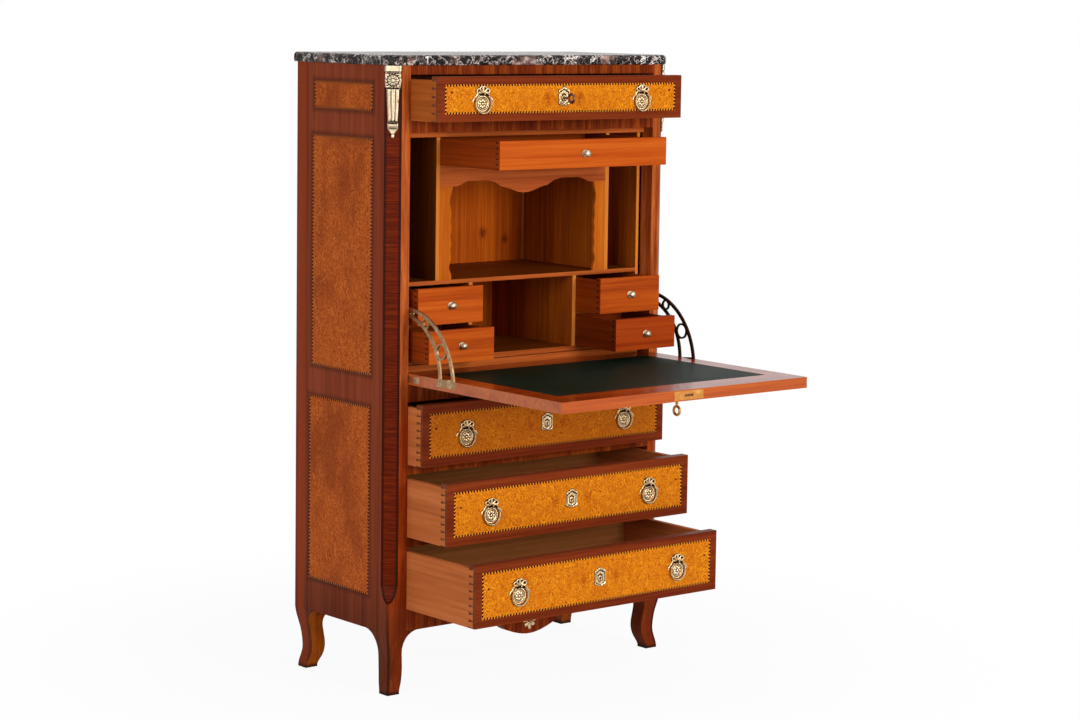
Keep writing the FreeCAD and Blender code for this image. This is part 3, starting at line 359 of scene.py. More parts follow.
# %% [markdown]
# ## Shared effects
# Five effects come back on several finishes: straight grain, burl figure, rope stringing, a hand-rubbed
# polish and the tarnish of gilt metal. Each is a node group, built once. A group only measures: it puts
# out masks and values, and each finish turns them into its own colours.

# %% Straight grain
# Fineness of each grain, across it and along it.
BAND_GRAIN, SIDE_GRAIN, STILE_GRAIN = (150.0, 4.0), (110.0, 2.2), (170.0, 9.0)
RAIL_GRAIN, PLAIN_GRAIN = (330.0, 14.0), (130.0, 3.0)
graph, given = start_group("straight_grain", ["Place*", "Across", "Along"])
comb = graph.point(given["Across"], given["Across"], given["Along"])
combed = graph.vector("MULTIPLY", given["Place"], comb)
broad = graph.noise(combed, 0.16, 3.0, 0.5, 0.8)
streak = graph.noise(combed, 1.0, 6.0, 0.62, 0.5)
fine = graph.noise(combed, 5.0, 2.0, 0.5)
pore = graph.noise(graph.stretch(combed, (9, 9, 2.2)), 1.0, 2.0, 0.5)
mixed = graph.calc("MULTIPLY_ADD", streak, 0.45, graph.times(fine, 0.15))
mixed = graph.calc("MULTIPLY_ADD", broad, 0.4, mixed)
straight_grain = end_group(graph, {
    "Streak": graph.step(mixed, 0.28, 0.72), "Pore": graph.step(pore, 0.62, 0.72)})


def grain_along(graph, place, axis, across, along):
    """The straight-grain group with its grain turned along one axis."""
    turn = {"X": (0, math.pi / 2, 0), "Y": (math.pi / 2, 0, 0), "Z": (0, 0, 0)}[axis]
    turned = graph.add("ShaderNodeMapping", {"Vector": place, "Rotation": turn}).outputs[0]
    return graph.group(straight_grain, {"Place": turned, "Across": across, "Along": along})

# %% Burl figure
graph, given = start_group("burl_figure", ["Place*", "Scale"])
swirl, fleck, cloud, cell, patch = (
    graph.times(given["Scale"], share) for share in (0.35, 3.6, 0.45, 2.4, 0.9))
bent = graph.bend(given["Place"], swirl, 2.0, 0.5, 0.034)
figure = graph.noise(bent, fleck, 7.0, 0.74, 1.6)
clouds = graph.noise(bent, cloud, 2.0, 0.5)
cells = graph.add("ShaderNodeTexVoronoi", {"Vector": bent, "Scale": cell}).outputs["Distance"]
scatter = graph.step(graph.noise(bent, patch, 1.0), 0.5, 0.62)
burl_figure = end_group(graph, {
    "Figure": graph.step(figure, 0.34, 0.66), "Cloud": graph.step(clouds, 0.3, 0.7),
    "Eyes": graph.times(graph.fade(cells, 0.05, 0.2), scatter)})

# %% Rope stringing round a rectangular field
ROPE_BAND, ROPE_PITCH = 0.0042, 0.008
graph, given = start_group("rope_stringing", ["Across", "Up", "Half Width", "Half Height", "Band", "Pitch"])
beyond_side = graph.minus(graph.absolute(given["Across"]), given["Half Width"])
beyond_top = graph.minus(graph.absolute(given["Up"]), given["Half Height"])
beyond = graph.calc("MAXIMUM", beyond_side, beyond_top)
on_end = graph.above(beyond_side, beyond_top)
lengthwise = graph.add("ShaderNodeMix", {0: on_end, 2: given["Across"], 3: given["Up"]}).outputs[0]
slant = graph.calc("MULTIPLY_ADD", beyond, 0.35, lengthwise)
turns = graph.calc("FRACT", graph.calc("DIVIDE", slant, given["Pitch"]))
half_band = graph.times(given["Band"], 0.5)
rope_stringing = end_group(graph, {
    "Field": graph.below(beyond, 0.0), "Rope": graph.below(graph.absolute(beyond), half_band),
    "Twist": graph.below(turns, 0.4), "Beyond": beyond})


def stringing(graph, across, up, half_width, half_height):
    """The rope group round one field, with the band and pitch that the whole case has."""
    return graph.group(rope_stringing, {
        "Across": across, "Up": up, "Half Width": half_width, "Half Height": half_height,
        "Band": ROPE_BAND, "Pitch": ROPE_PITCH})

# %% Hand-rubbed polish
# Old wax reflects less than fresh varnish does, and its scratches are shallow.
WAX, SCRATCH_DEPTH = 0.035, 0.0004
graph, given = start_group("rubbed_polish", ["Place*", "Gloss"])
smear = graph.noise(given["Place"], 14.0, 4.0, 0.6)
scuff = graph.noise(given["Place"], 130.0, 3.0, 0.6)
uneven = graph.calc("MULTIPLY_ADD", smear, 0.16, graph.times(scuff, 0.08))
rubbed_polish = end_group(graph, {
    "Roughness": graph.calc("ADD", given["Gloss"], graph.minus(uneven, 0.1)),
    "Height": graph.noise(given["Place"], 420.0, 3.0, 0.5)})


def polished(graph, shader, place, colour, gloss, bump, shine=WAX):
    """Gives a shader its colour and shine, with the polish group on its roughness and normal."""
    polish = graph.group(rubbed_polish, {"Place": place, "Gloss": gloss})
    graph.feed(shader, {
        "Base Color": colour, "Specular IOR Level": shine, "Roughness": polish["Roughness"],
        "Normal": graph.relief(polish["Height"], bump, SCRATCH_DEPTH)})

# %% Tarnish of cast metal
graph, given = start_group("metal_tarnish", ["Place*", "Recess"])
patch = graph.noise(given["Place"], 60.0, 4.0, 0.6)
grit = graph.noise(given["Place"], 900.0, 2.0, 0.5)
low_spots = graph.calc("ADD", given["Recess"], graph.times(patch, 0.3))
metal_tarnish = end_group(graph, {
    "Dark": graph.step(low_spots, 0.34, 0.66), "Rub": graph.step(patch, 0.45, 0.75), "Grit": grit})

# %% [markdown]
# ## Drawer fronts
# The case is veneered, with golden burl on the long drawers. The burl opens like a book, so its halves
# mirror each other, and a twisted rope of light and dark wood frames it. Each front could carry a painted
# picture, but then each would need its own. Here burl and rope are drawn from the place of a point, and
# the object's own normal tells the veneered face from the plain edges.

# %% Golden burl, mirrored at the middle as two sheets of one veneer are
FRONT_BURL = 62.0
KNOT_OUT, KNOT_SQUASH = 0.047, 0.7
EYE_OUT, EYE_UP = 0.311, 0.015


def front_burl(graph, place):
    """The burl group with the left half a mirror image of the right one."""
    x, y, z = graph.split(place)
    mirrored = graph.point(graph.absolute(x), y, z)
    return graph.group(burl_figure, {"Place": mirrored, "Scale": FRONT_BURL})


def golden_field(graph, place, height, fall_shadow):
    """Golden burl with a red knot each side of the middle, a dark eye near each end, and a painted shadow."""
    burl = front_burl(graph, place)
    out = graph.absolute(graph.split(place)[0])
    gold = graph.tones(burl["Figure"], "782c04", "c4680a", "ea9c1c", middle=0.42)
    gold = graph.mix(burl["Cloud"], gold, "b45a08", 0.35)
    gold = graph.mix(burl["Eyes"], gold, "5e2204", 0.6)
    # Painted shadow: the share given darkens the whole field.
    gold = graph.mix(fall_shadow, gold, "7c2c0a")
    knot = graph.point(graph.minus(out, KNOT_OUT), graph.times(height, KNOT_SQUASH))
    ragged = graph.calc("MULTIPLY_ADD", burl["Figure"], 0.014, graph.length(knot))
    gold = graph.mix(graph.fade(ragged, 0.006, 0.022), gold, "8c2a04", 0.7)
    eye = graph.point(graph.minus(out, EYE_OUT), graph.minus(height, EYE_UP))
    return graph.mix(graph.fade(graph.length(eye), 0.0016, 0.0038), gold, "4c1a06")


print("burl of scale", FRONT_BURL, "with knots at", KNOT_OUT, "and eyes at", EYE_OUT)

# %% Dressing CAD pieces
def dress(finish, *names):
    """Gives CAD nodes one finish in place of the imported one."""
    for name in names:
        nodes[name].data.materials.clear()
        nodes[name].data.materials.append(finish)
    print(finish.name, "on", len(names), "pieces")


print(len(nodes), "pieces to dress")

# %% Drawer fronts: crossband, rope stringing and the burl field
FIELD_HALF_WIDTH = 0.327
ROPE_HALF_HEIGHTS = {"frieze": 0.0295, "upper": 0.047, "middle": 0.0468, "lower": 0.0488}
# Painted shadow: the upper drawer's front is darkened by this share, as if the open fall shades it.
PAINTED_FALL_SHADOW = {"upper": 0.35}


def drawer_front_finish(name, centre, half_height, fall_shadow):
    """The finish of one long drawer's front, with its field round the height of its centre."""
    material, graph, shader, place, facing = start_finish(name)
    x, _, z = graph.split(place)
    height = graph.minus(z, centre)
    rope = stringing(graph, x, height, FIELD_HALF_WIDTH, half_height)
    grain = grain_along(graph, place, "X", *BAND_GRAIN)
    band = graph.tones(grain["Streak"], "501607", "6c270c", "803614")
    colour = graph.mix(rope["Field"], band, golden_field(graph, place, height, fall_shadow))
    # The same painted shadow dims the rope's light strands.
    bright = graph.mix(fall_shadow, "e08a20", "9c4414")
    strands = graph.mix(rope["Twist"], "140002", bright)
    colour = graph.mix(rope["Rope"], colour, strands)
    edge = graph.tones(grain["Streak"], "5a2614", "8a4c30")
    outward = graph.below(graph.split(facing)[1], -0.5)
    colour = graph.mix(outward, edge, colour)
    polished(graph, shader, place, colour, 0.36, bump=0.08)
    return material


for name, half_height in ROPE_HALF_HEIGHTS.items():
    low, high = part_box(f"{name}_drawer_front")
    centre = (low.z + high.z) / 2
    finish = drawer_front_finish(f"{name}_burl_front", centre, half_height, PAINTED_FALL_SHADOW.get(name, 0.0))
    dress(finish, f"{name}_drawer_front")

# %% [markdown]
# ## Sides, posts and rails
# The sides are quiet, dark veneer with three framed fields. A post is one length of timber with three
# veneers: a stile in front, the side veneer, and cross-cut kingwood on its canted corner. One material
# for each face would end at the edges of the mesh. One material that reads the place and the normal puts
# the borders where they belong, and lets the legs fade in softly.

# %% Dark side veneer
# Heights between which the case turns into its legs.
LEG_BLEND = (0.1, 0.32)


def side_veneer(graph, place):
    """Dark, quiet veneer with upright grain, darker towards the floor."""
    grain = grain_along(graph, place, "Z", *SIDE_GRAIN)
    dark = graph.tones(grain["Streak"], "6a2812", "883c22", "9a4a2e", middle=0.55)
    deep = graph.tones(grain["Streak"], "481a0a", "682a12", "7c3a1e", middle=0.55)
    dark = graph.mix(graph.step(graph.split(place)[2], *LEG_BLEND), deep, dark)
    return graph.mix(grain["Pore"], dark, "4c1a0e", 0.3)


print("side veneer deepens from", LEG_BLEND[1], "down to", LEG_BLEND[0])

# %% Sides of the case: dark veneer with three burl fields
# Middle and half size of each field, first from front to back and then upwards.
SIDE_FIELDS = (
    (0.001, 0.108, 1.3078, 0.0283),
    (0.004, 0.111, 0.9602, 0.2563),
    (0.0095, 0.1135, 0.4235, 0.2065))
side_finish, graph, shader, place, _ = start_finish("side_veneer")
_, y, z = graph.split(place)
drawn = graph.stretch(place, (1, 1, 0.6))
flecks = graph.group(burl_figure, {"Place": drawn, "Scale": 75.0})
field = graph.tones(flecks["Figure"], "6e2608", "ba541a", "e4823a", middle=0.45)
field = graph.mix(flecks["Cloud"], field, "a0441a", 0.35)
field = graph.mix(flecks["Eyes"], field, "521a04", 0.5)
shade = graph.step(graph.noise(drawn, 9.0, 4.0, 0.65), 0.44, 0.68)
field = graph.mix(shade, field, "7c3012", 0.55)
colour = side_veneer(graph, place)
for middle_y, half_y, middle_z, half_z in SIDE_FIELDS:
    rope = stringing(graph, graph.minus(y, middle_y), graph.minus(z, middle_z), half_y, half_z)
    close_by = graph.fade(rope["Beyond"], 0.004, 0.015)
    colour = graph.mix(close_by, colour, "2c140c", 0.5)
    colour = graph.mix(rope["Field"], colour, field)
    strands = graph.mix(rope["Twist"], "100202", "cc6c2c")
    colour = graph.mix(rope["Rope"], colour, strands)
polished(graph, shader, place, colour, 0.4, bump=0.08)
dress(side_finish, "side_panel_left", "side_panel_right")

# %% Posts: dark veneer at the side and a stile in front
SIDE_FROM, STILE_CHANGE = 0.36, (0.56, 0.74)
STRIP_FRONT, STRIP_REAR = (0.139, 0.145), (0.166, 0.172)
post_finish, graph, shader, place, facing = start_finish("post_veneer")
x, y, z = graph.split(place)
face_x, face_y, _ = graph.split(facing)
side_colour = side_veneer(graph, place)
rear_strip = graph.times(graph.step(y, *STRIP_FRONT), graph.fade(y, *STRIP_REAR))
side_colour = graph.mix(rear_strip, side_colour, "9c3c14", 0.6)
stile = grain_along(graph, place, "Z", *STILE_GRAIN)
stile_colour = graph.tones(stile["Streak"], "64240a", "a44d1f", "c87238")
red_stile = graph.tones(stile["Streak"], "581804", "8e340c", "ac4a1a")
stile_colour = graph.mix(graph.step(z, *STILE_CHANGE), red_stile, stile_colour)
is_side = graph.above(graph.absolute(face_x), graph.absolute(face_y))
is_side = graph.times(is_side, graph.above(graph.absolute(x), SIDE_FROM))
case_colour = graph.mix(is_side, stile_colour, side_colour)
print("stile reddens below", STILE_CHANGE[1])

# %% Posts: cross-cut kingwood on the canted corner, with dark lines at its rims and at one joint
CANT_BOTTOM, JOINT_HEIGHT, JOINT_HALF = 0.2, 0.243, 0.0008
post_low, post_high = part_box("front_post_right")
lines = graph.noise(graph.stretch(place, (16, 16, 400)), 1.0, 5.0, 0.6, 0.4)
kingwood = graph.tones(lines, "3c0c02", "5c1804", "802c08", low=0.28, high=0.74)
from_side = graph.minus(post_high.x, graph.absolute(x))
from_front = graph.minus(y, post_low.y)
rim = graph.fade(graph.calc("MINIMUM", from_side, from_front), 0.003, 0.005)
kingwood = graph.mix(rim, kingwood, "1c0e08", 0.75)
joint_line = graph.below(graph.apart(z, JOINT_HEIGHT), JOINT_HALF)
kingwood = graph.mix(joint_line, kingwood, "1f0c08", 0.7)
diagonal = graph.calc("MINIMUM", graph.absolute(face_x), graph.times(face_y, -1.0))
canted = graph.times(graph.above(diagonal, 0.3), graph.above(z, CANT_BOTTOM))
print("kingwood above", CANT_BOTTOM)

# %% Posts: legs with dark arrises and feet
SOFT_EDGE, FOOT_TOP = 0.005, 0.012
leg_front = graph.tones(stile["Streak"], "4c1804", "6c2709", "80340f")
leg_rear = graph.tones(stile["Streak"], "7a3206", "a04a0c", "b86218")
leg_front = graph.mix(graph.above(y, 0.0), leg_front, leg_rear)
leg_colour = graph.mix(is_side, leg_front, side_colour)
rounded = graph.add("ShaderNodeBevel", {"Radius": SOFT_EDGE}, samples=6).outputs[0]
true_normal = graph.add("ShaderNodeNewGeometry").outputs["True Normal"]
arris = graph.fade(graph.vector("DOT_PRODUCT", rounded, true_normal, "Value"), 0.78, 0.97)
corner = graph.fade(graph.apart(from_side, from_front), 0.0005, 0.008)
leg_colour = graph.mix(graph.calc("MAXIMUM", arris, corner), leg_colour, "1c0a06", 0.85)
leg_colour = graph.mix(graph.step(z, 0.0, FOOT_TOP), "1c0a06", leg_colour)
colour = graph.mix(graph.step(z, *LEG_BLEND), leg_colour, case_colour)
colour = graph.mix(canted, colour, kingwood)
polished(graph, shader, place, colour, 0.36, bump=0.08)
dress(post_finish, "front_post_left", "front_post_right", "rear_post_left", "rear_post_right")

# %% Rails and apron: cross-cut veneer with upright stripes
rail_finish, graph, shader, place, _ = start_finish("crossband_rails")
grain = grain_along(graph, place, "Z", *RAIL_GRAIN)
colour = graph.tones(grain["Streak"], "400f03", "702708", "a64e18", middle=0.45)
polished(graph, shader, place, colour, 0.38, bump=0.08)
dress(rail_finish, "front_rails", "front_apron")

# %% [markdown]
# ## Plain woods
# Drawer boxes, small drawers and the uprights inside are plain timber. Grain runs along a board, so faces
# to the front and faces to the side need it in different directions. One function makes all these woods
# from three tones each. A small drawer is one piece in CAD, so the pins of its dovetails are coloured
# from the sizes of the joint.

# %% Solid woods: grain along the length of each board
# A face counts as facing one way when its normal has more than this share of that way.
SQUARE_ON = 0.7
# Sizes of the small drawers' dovetails, as in CAD: front, lap, drop of the side, and width of a tail.
SMALL_FRONT, SMALL_LAP, SMALL_DROP, SMALL_TAIL = 0.014, 0.004, 0.004, 0.012


def dovetail_pins(graph, place, face_x, face, floor, pitch):
    """1 on the pins of a small drawer's side: between the tails, whose half width is 0.3 of the pitch
    at the back of the front and 0.43 of it at the lap."""
    _, y, z = graph.split(place)
    depth = graph.calc("DIVIDE", graph.minus(face + SMALL_FRONT, y), SMALL_FRONT - SMALL_LAP)
    turn = graph.calc("FRACT", graph.calc("DIVIDE", graph.minus(z, floor), pitch))
    pin = graph.above(graph.apart(turn, 0.5), graph.calc("MULTIPLY_ADD", depth, 0.13, 0.3))
    inside = graph.times(graph.above(depth, 0.0), graph.below(depth, 1.0))
    on_side = graph.above(graph.absolute(face_x), SQUARE_ON)
    return graph.times(graph.times(pin, inside), on_side)


def solid_wood(name, tones, front_axis, side_axis, gloss, edge=None, sides=None, joint=None, shaded=None):
    """Plain timber whose grain runs one way on faces to the front and another on faces to the side.
    A second set of tones can stain the other faces, and edge is for the edges that face the front.
    A joint (face, floor, pitch) darkens the pins between dovetails; shaded paints shade on all left of that
    x."""
    material, graph, shader, place, facing = start_finish(name)
    face_x, face_y, _ = graph.split(facing)
    front = grain_along(graph, place, front_axis, *PLAIN_GRAIN)
    side = grain_along(graph, place, side_axis, *PLAIN_GRAIN)
    is_front = graph.above(graph.absolute(face_y), SQUARE_ON)
    streak = graph.mix(is_front, side["Streak"], front["Streak"])
    colour = graph.tones(streak, *tones)
    if sides:
        colour = graph.mix(is_front, graph.tones(streak, *sides), colour)
    colour = graph.mix(side["Pore"], colour, tones[0], 0.35)
    if joint:
        colour = graph.mix(dovetail_pins(graph, place, face_x, *joint), colour, "240a04", 0.75)
    # Painted shade: all left of the given x is darkened, as the fitting's left cell lies in shadow.
    if shaded is not None:
        colour = graph.mix(graph.below(graph.split(place)[0], shaded), colour, "180402", 0.6)
    if edge:
        colour = graph.mix(graph.below(face_y, -SQUARE_ON), colour, graph.tones(front["Streak"], *edge))
    polished(graph, shader, place, colour, gloss, bump=0.1)
    return material


print("tails of the small drawers are about", SMALL_TAIL, "m wide")

# %% Boxes of the long drawers, and the plain boards of the case
MAHOGANY = ("70401c", "8e5428", "a0643a")
dress(solid_wood("drawer_mahogany", MAHOGANY, "X", "Y", 0.5, sides=("a4582c", "c46b38", "d27c48")),
      "upper_drawer_box", "middle_drawer_box", "lower_drawer_box")
dress(solid_wood("frieze_mahogany", MAHOGANY, "X", "Y", 0.5, sides=("8e461a", "ac5822", "bc6832")),
      "frieze_drawer_box")
dress(solid_wood("carcass_wood", ("4c2a14", "6e4224", "875433"), "Z", "Y", 0.6),
      "back_panel", "top_board", "dust_boards", "drawer_guides")

# %% Small drawers, each with its own tones in front and at the side
DARK_SIDES, RED_SIDES = ("541c04", "702806", "82350a"), ("6a2608", "8c360c", "a04614")
RED = ("84300a", "aa460e", "be5a18")
WARM = ("8e340a", "b64e12", "cc641e")
DARK = ("762406", "9a380a", "ac4612")
FRUITWOOD = {"wide": (RED, RED_SIDES), "high_left": (WARM, RED_SIDES), "high_right": (RED, RED_SIDES),
             "low_left": (WARM, RED_SIDES), "low_right": (DARK, DARK_SIDES)}
for name, (tones, sides) in FRUITWOOD.items():
    low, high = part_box(f"{name}_small_drawer")
    side_tall = high.z - low.z - SMALL_DROP
    joint = (low.y, low.z, side_tall / round(side_tall / SMALL_TAIL))
    finish = solid_wood(f"{name}_fruitwood", tones, "X", "Y", 0.4, sides=sides, joint=joint)
    dress(finish, f"{name}_small_drawer")

# %% Uprights, valance and pilasters of the inner fitting
# Painted shade darkens the uprights left of this x, inside the fitting's left cell.
PAINTED_SHADE_LEFT_OF = -0.2425
UPRIGHTS, UPRIGHT_EDGE = ("6c2c09", "9c4a10", "bc5f17"), ("b4601c", "dc8c3a")
dress(solid_wood("fitting_uprights", UPRIGHTS, "Z", "Z", 0.45, UPRIGHT_EDGE, shaded=PAINTED_SHADE_LEFT_OF),
      "fitting_partitions")
dress(solid_wood("valance_wood", ("7c3010", "a44c20", "ba602c"), "X", "Y", 0.42), "bay_valance")
dress(solid_wood("pale_pilasters", ("94480c", "b85a10", "cc741e"), "Z", "Z", 0.42), "bay_pilasters")

# %% [markdown]
# ## Fitting and fall front
# The back wall of the fitting is bright, with two knots, and the boards in front of it are darker. The
# fall is mahogany round its leather, and outside it is veneered like the drawers. Both are single pieces
# that show several woods, so the place and the normal decide again.

# %% Boards of the inner fitting: a bright back wall with two knots, darker boards in front of it
# Place and size of each knot; then where the wall starts, where it is pale, and where it is dim.
KNOTS = ((0.114, 0.973, 0.015), (0.181, 0.956, 0.012))
WALL_FROM, PALE_FROM, DIM_BELOW = 0.12, (0.229, 0.235), (0.885, 0.9)
board_finish, graph, shader, place, facing = start_finish("fitting_boards")
x, y, z = graph.split(place)
_, face_y, face_z = graph.split(facing)
wall_grain = grain_along(graph, place, "Z", *BAND_GRAIN)
wall = graph.tones(wall_grain["Streak"], "86360a", "ac4a0a", "c66212")
knots = 0.0
for knot_x, knot_z, size in KNOTS:
    reach = graph.length(graph.point(graph.minus(x, knot_x), graph.times(graph.minus(z, knot_z), 0.8)))
    ragged = graph.calc("MULTIPLY_ADD", graph.noise(place, 160.0, 3.0, 0.6), size * 1.2, reach)
    knots = graph.calc("MAXIMUM", knots, graph.fade(ragged, size * 0.7, size * 1.7))
wall = graph.mix(knots, wall, "5a1e06", 0.8)
wall = graph.mix(graph.step(x, *PALE_FROM), wall, "dc8430", 0.7)
dim_wall = graph.mix(0.25, wall, "5a1c06")
wall = graph.mix(graph.step(z, *DIM_BELOW), dim_wall, wall)
board_grain = grain_along(graph, place, "X", *BAND_GRAIN)
board = graph.tones(board_grain["Streak"], "6a2a06", "96460c", "b4601a")
board = graph.mix(graph.above(face_z, SQUARE_ON), board, "3a1c06", 0.5)
front_edge = graph.tones(board_grain["Streak"], "86380f", "c0622a")
front_colour = graph.mix(graph.above(y, WALL_FROM), front_edge, wall)
colour = graph.mix(graph.below(face_y, -SQUARE_ON), board, front_colour)
polished(graph, shader, place, colour, 0.42, bump=0.1)
dress(board_finish, "fitting_boards")

# %% Fall front: mahogany round the leather inside, burl with stringing outside
FALL_FIELD = (0.31, 0.235)
low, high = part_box("fall_panel")
fall_finish, graph, shader, place, facing = start_finish("fall_veneer")
x, y, _ = graph.split(place)
face_x, _, face_z = graph.split(facing)
burl = front_burl(graph, place)
gold = graph.tones(burl["Figure"], "9c4606", "d0740c", "e69416", middle=0.45)
gold = graph.mix(burl["Eyes"], gold, "5e2204", 0.6)
band = grain_along(graph, place, "X", *BAND_GRAIN)
inside = graph.tones(band["Streak"], "6a1e04", "923206", "b24a12")
rope = stringing(graph, x, graph.minus(y, (low.y + high.y) / 2), *FALL_FIELD)
outside = graph.mix(rope["Field"], graph.tones(band["Streak"], "5c1f0c", "a34a22"), gold)
outside = graph.mix(rope["Rope"], outside, graph.mix(rope["Twist"], "2c0a04", "d0903c"))
colour = graph.mix(graph.below(face_z, -0.5), inside, outside)
edge = graph.tones(band["Streak"], "863208", "a54608", "b8580e")
end = graph.tones(band["Streak"], "a44a22", "cc6e38")
edge = graph.mix(graph.above(graph.absolute(face_x), SQUARE_ON), edge, end)
colour = graph.mix(graph.below(graph.absolute(face_z), 0.5), colour, edge)
polished(graph, shader, place, colour, 0.2, bump=0.03, shine=0.32)
dress(fall_finish, "fall_panel")

# %% [markdown]
# ## Leather and marble
# The writing leather is dark green with a fine pebble and a slight sheen. The marble is nearly black,
# with pale and pink veins of every size. A vein follows the line where a noise passes its middle height,
# like a contour on a map, and a second noise decides where it is plain, faint or missing.

# %% Leather
leather_finish, graph, shader, place, _ = start_finish("green_leather")
worn = graph.noise(place, 6.0, 4.0, 0.6)
pebbles = graph.add("ShaderNodeTexVoronoi", {"Vector": place, "Scale": 620.0}).outputs["Distance"]
graph.feed(shader, {
    "Base Color": graph.tones(worn, "08140a", "122018", low=0.3, high=0.7), "Specular IOR Level": 0.03,
    "Roughness": graph.calc("MULTIPLY_ADD", worn, 0.16, 0.4), "Normal": graph.relief(pebbles, 0.18, 0.0004)})
dress(leather_finish, "fall_leather")

# %% Marble
# Scale, half width, height from which a patch shows it, and tone of each size of vein.
VEINS = ((11.0, 0.014, 0.38, "fff4ee"), (28.0, 0.022, 0.42, "f6e2d8"), (60.0, 0.024, 0.46, "e4cec4"))
marble_finish, graph, shader, place, _ = start_finish("dark_marble")
bent = graph.bend(place, 7.0, 5.0, 0.62, 0.09)
colour = graph.tones(graph.noise(bent, 26.0, 5.0, 0.6), "0a0808", "2c2624", low=0.3, high=0.7)
for scale, width, start, tone in VEINS:
    wander = graph.noise(graph.stretch(bent, (1, 1, 1), (scale, 0, 0)), scale, 5.0, 0.62)
    vein = graph.fade(graph.apart(wander, 0.5), 0.0, width)
    patchy = graph.step(graph.noise(place, scale * 0.8, 4.0, 0.7), start, start + 0.2)
    colour = graph.mix(graph.times(vein, patchy), colour, tone)
blush = graph.step(graph.noise(bent, 9.0, 4.0, 0.6), 0.58, 0.68)
pink = graph.tones(graph.noise(bent, 60.0, 3.0), "6c4840", "dcb8aa", low=0.35, high=0.65)
colour = graph.mix(blush, colour, pink, 0.75)
polished(graph, shader, place, colour, 0.22, bump=0.03, shine=0.1)
dress(marble_finish, "marble_top")

# %% [markdown]
# ## Metals
# The castings are gilt: bright where hands and cloths rub, dark in the recesses. Each casting carries a
# number called recess on its surface, worked out with its shape, and the tarnish group reads it; on the
# bows it also carries painted shadow. The stays, pins, bolts and keys are plain bronze or brass that has
# gone dull, and the right stay is painted darker as shade.

# %% Gilt and bronze
SIDES = ("left", "right")


def metal(name, bright, dark, rub, gloss, right_shade=None):
    """Cast metal; an optional darker tone is painted right of the middle, as painted shade on one of a pair.
    """
    material, graph, shader, place, _ = start_finish(name)
    recess = graph.add("ShaderNodeAttribute", attribute_name="recess").outputs["Fac"]
    tarnish = graph.group(metal_tarnish, {"Place": place, "Recess": recess})
    colour = graph.mix(tarnish["Rub"], bright, rub)
    # Painted shade: the part right of the middle takes the darker tone.
    if right_shade:
        colour = graph.mix(graph.above(graph.split(place)[0], 0.0), colour, right_shade)
    gritty = graph.calc("MULTIPLY_ADD", tarnish["Grit"], 0.12, gloss)
    graph.feed(shader, {
        "Base Color": graph.mix(tarnish["Dark"], colour, dark), "Metallic": 1.0,
        "Roughness": graph.calc("MULTIPLY_ADD", tarnish["Dark"], 0.3, gritty),
        "Normal": graph.relief(tarnish["Grit"], 0.12, 0.0003)})
    return material


gilt = metal("gilt_bronze", "ccae84", "26160a", "e8d0aa", 0.3)
silvery = metal("silvery_gilt", "b4a084", "1c100a", "dccfb8", 0.36)
knob_metal = metal("knob_metal", "a8947a", "241810", "d4c4ac", 0.34)
bronze = metal("brown_bronze", "6e4a38", "2a1810", "96745a", 0.36)
brass = metal("worn_brass", "b87c3c", "4a3016", "d09a58", 0.4)
# Painted shade: the right stay is dark, as it stands in shadow.
stay_metal = metal("stay_bronze", "9a7854", "4a3016", "ccae8a", 0.36, right_shade="34261a")
dress(bronze, "hinge_pins", "fall_bolt", "frieze_bolt")
dress(stay_metal, "quadrant_stays")
dress(brass, "fall_lock", "fall_key", "frieze_key")
dress(gilt, "hinge_plates", "corner_mounts", "apron_mount",
      *(f"{name}_drawer_mounts" for name in ROPE_HALF_HEIGHTS),
      *(f"{name}_ring_{side}" for name in ROPE_HALF_HEIGHTS for side in SIDES),
      *(f"{name}_knob" for name in FRUITWOOD))

# %% [markdown]
# ## Castings as surfaces
# Pulls, keyhole plates, corner drops and the apron leaf are cast and chased, with soft relief all over.
# Sculpting them by hand would give meshes that are hard to change. Here each is a sheet: a grid of
# numbers across and up, with a height worked out for the whole grid at once. How far a point lies below
# its surroundings is kept as the recess that the tarnish reads.

# %% Axes and curves that the sheets share
MM = 0.001
RIGHT, UP, OUT = np.array([1.0, 0, 0]), np.array([0, 0, 1.0]), np.array([0, -1.0, 0])
# For each way a sheet can lie: its across, its up and its outward axis.
FRONT, SIDE_ON, TOP, DOWN = (RIGHT, UP, OUT), (OUT, UP, RIGHT), (RIGHT, -OUT, UP), (RIGHT, OUT, -UP)


def around(count):
    """Angles of one turn, with the first again at the end."""
    return np.linspace(0, 2 * np.pi, count + 1)


def fold(angle):
    """Angle from straight down, the same on both sides: from 0 to pi."""
    return np.abs((angle + np.pi) % (2 * np.pi) - np.pi)


def bell(value, middle, width):
    """A smooth swell: e to the power of minus the square of (value - middle) / width."""
    return np.exp(-((value - middle) / width) ** 2)


def dome(value, half):
    """Half a circle over a value: the root of 1 - (value / half) squared, and 0 beyond half."""
    return np.sqrt(np.clip(1 - (value / half) ** 2, 0, 1))


def hollows(height, reach=6, depth=0.5):
    """Recess of each grid point: how far it lies below the mean of its neighbours, from 0 to 1."""
    mean = height
    for _ in range(reach):
        wide = np.pad(mean, 1, mode="edge")
        mean = (wide[:-2, 1:-1] + wide[2:, 1:-1] + wide[1:-1, :-2] + wide[1:-1, 2:]) / 4
    return np.clip(0.2 + (mean - height) / depth, 0, 1)


print("sheets are worked out in units of", MM, "m")

# %% Sheets: placed, and round a middle
def stand(across, up, out, origin, axes=FRONT):
    """Places a sheet: origin plus across, up and out along three axes, from millimetres to metres."""
    grid = across[..., None] * axes[0] + up[..., None] * axes[1] + out[..., None] * axes[2]
    return np.asarray(origin, float) + grid * MM


def placed(sheet, origin, axes=FRONT):
    """A sheet (across, up, out, recess) as placed points with their recess."""
    across, up, out, recess = sheet
    return stand(across, up, out, origin, axes), recess


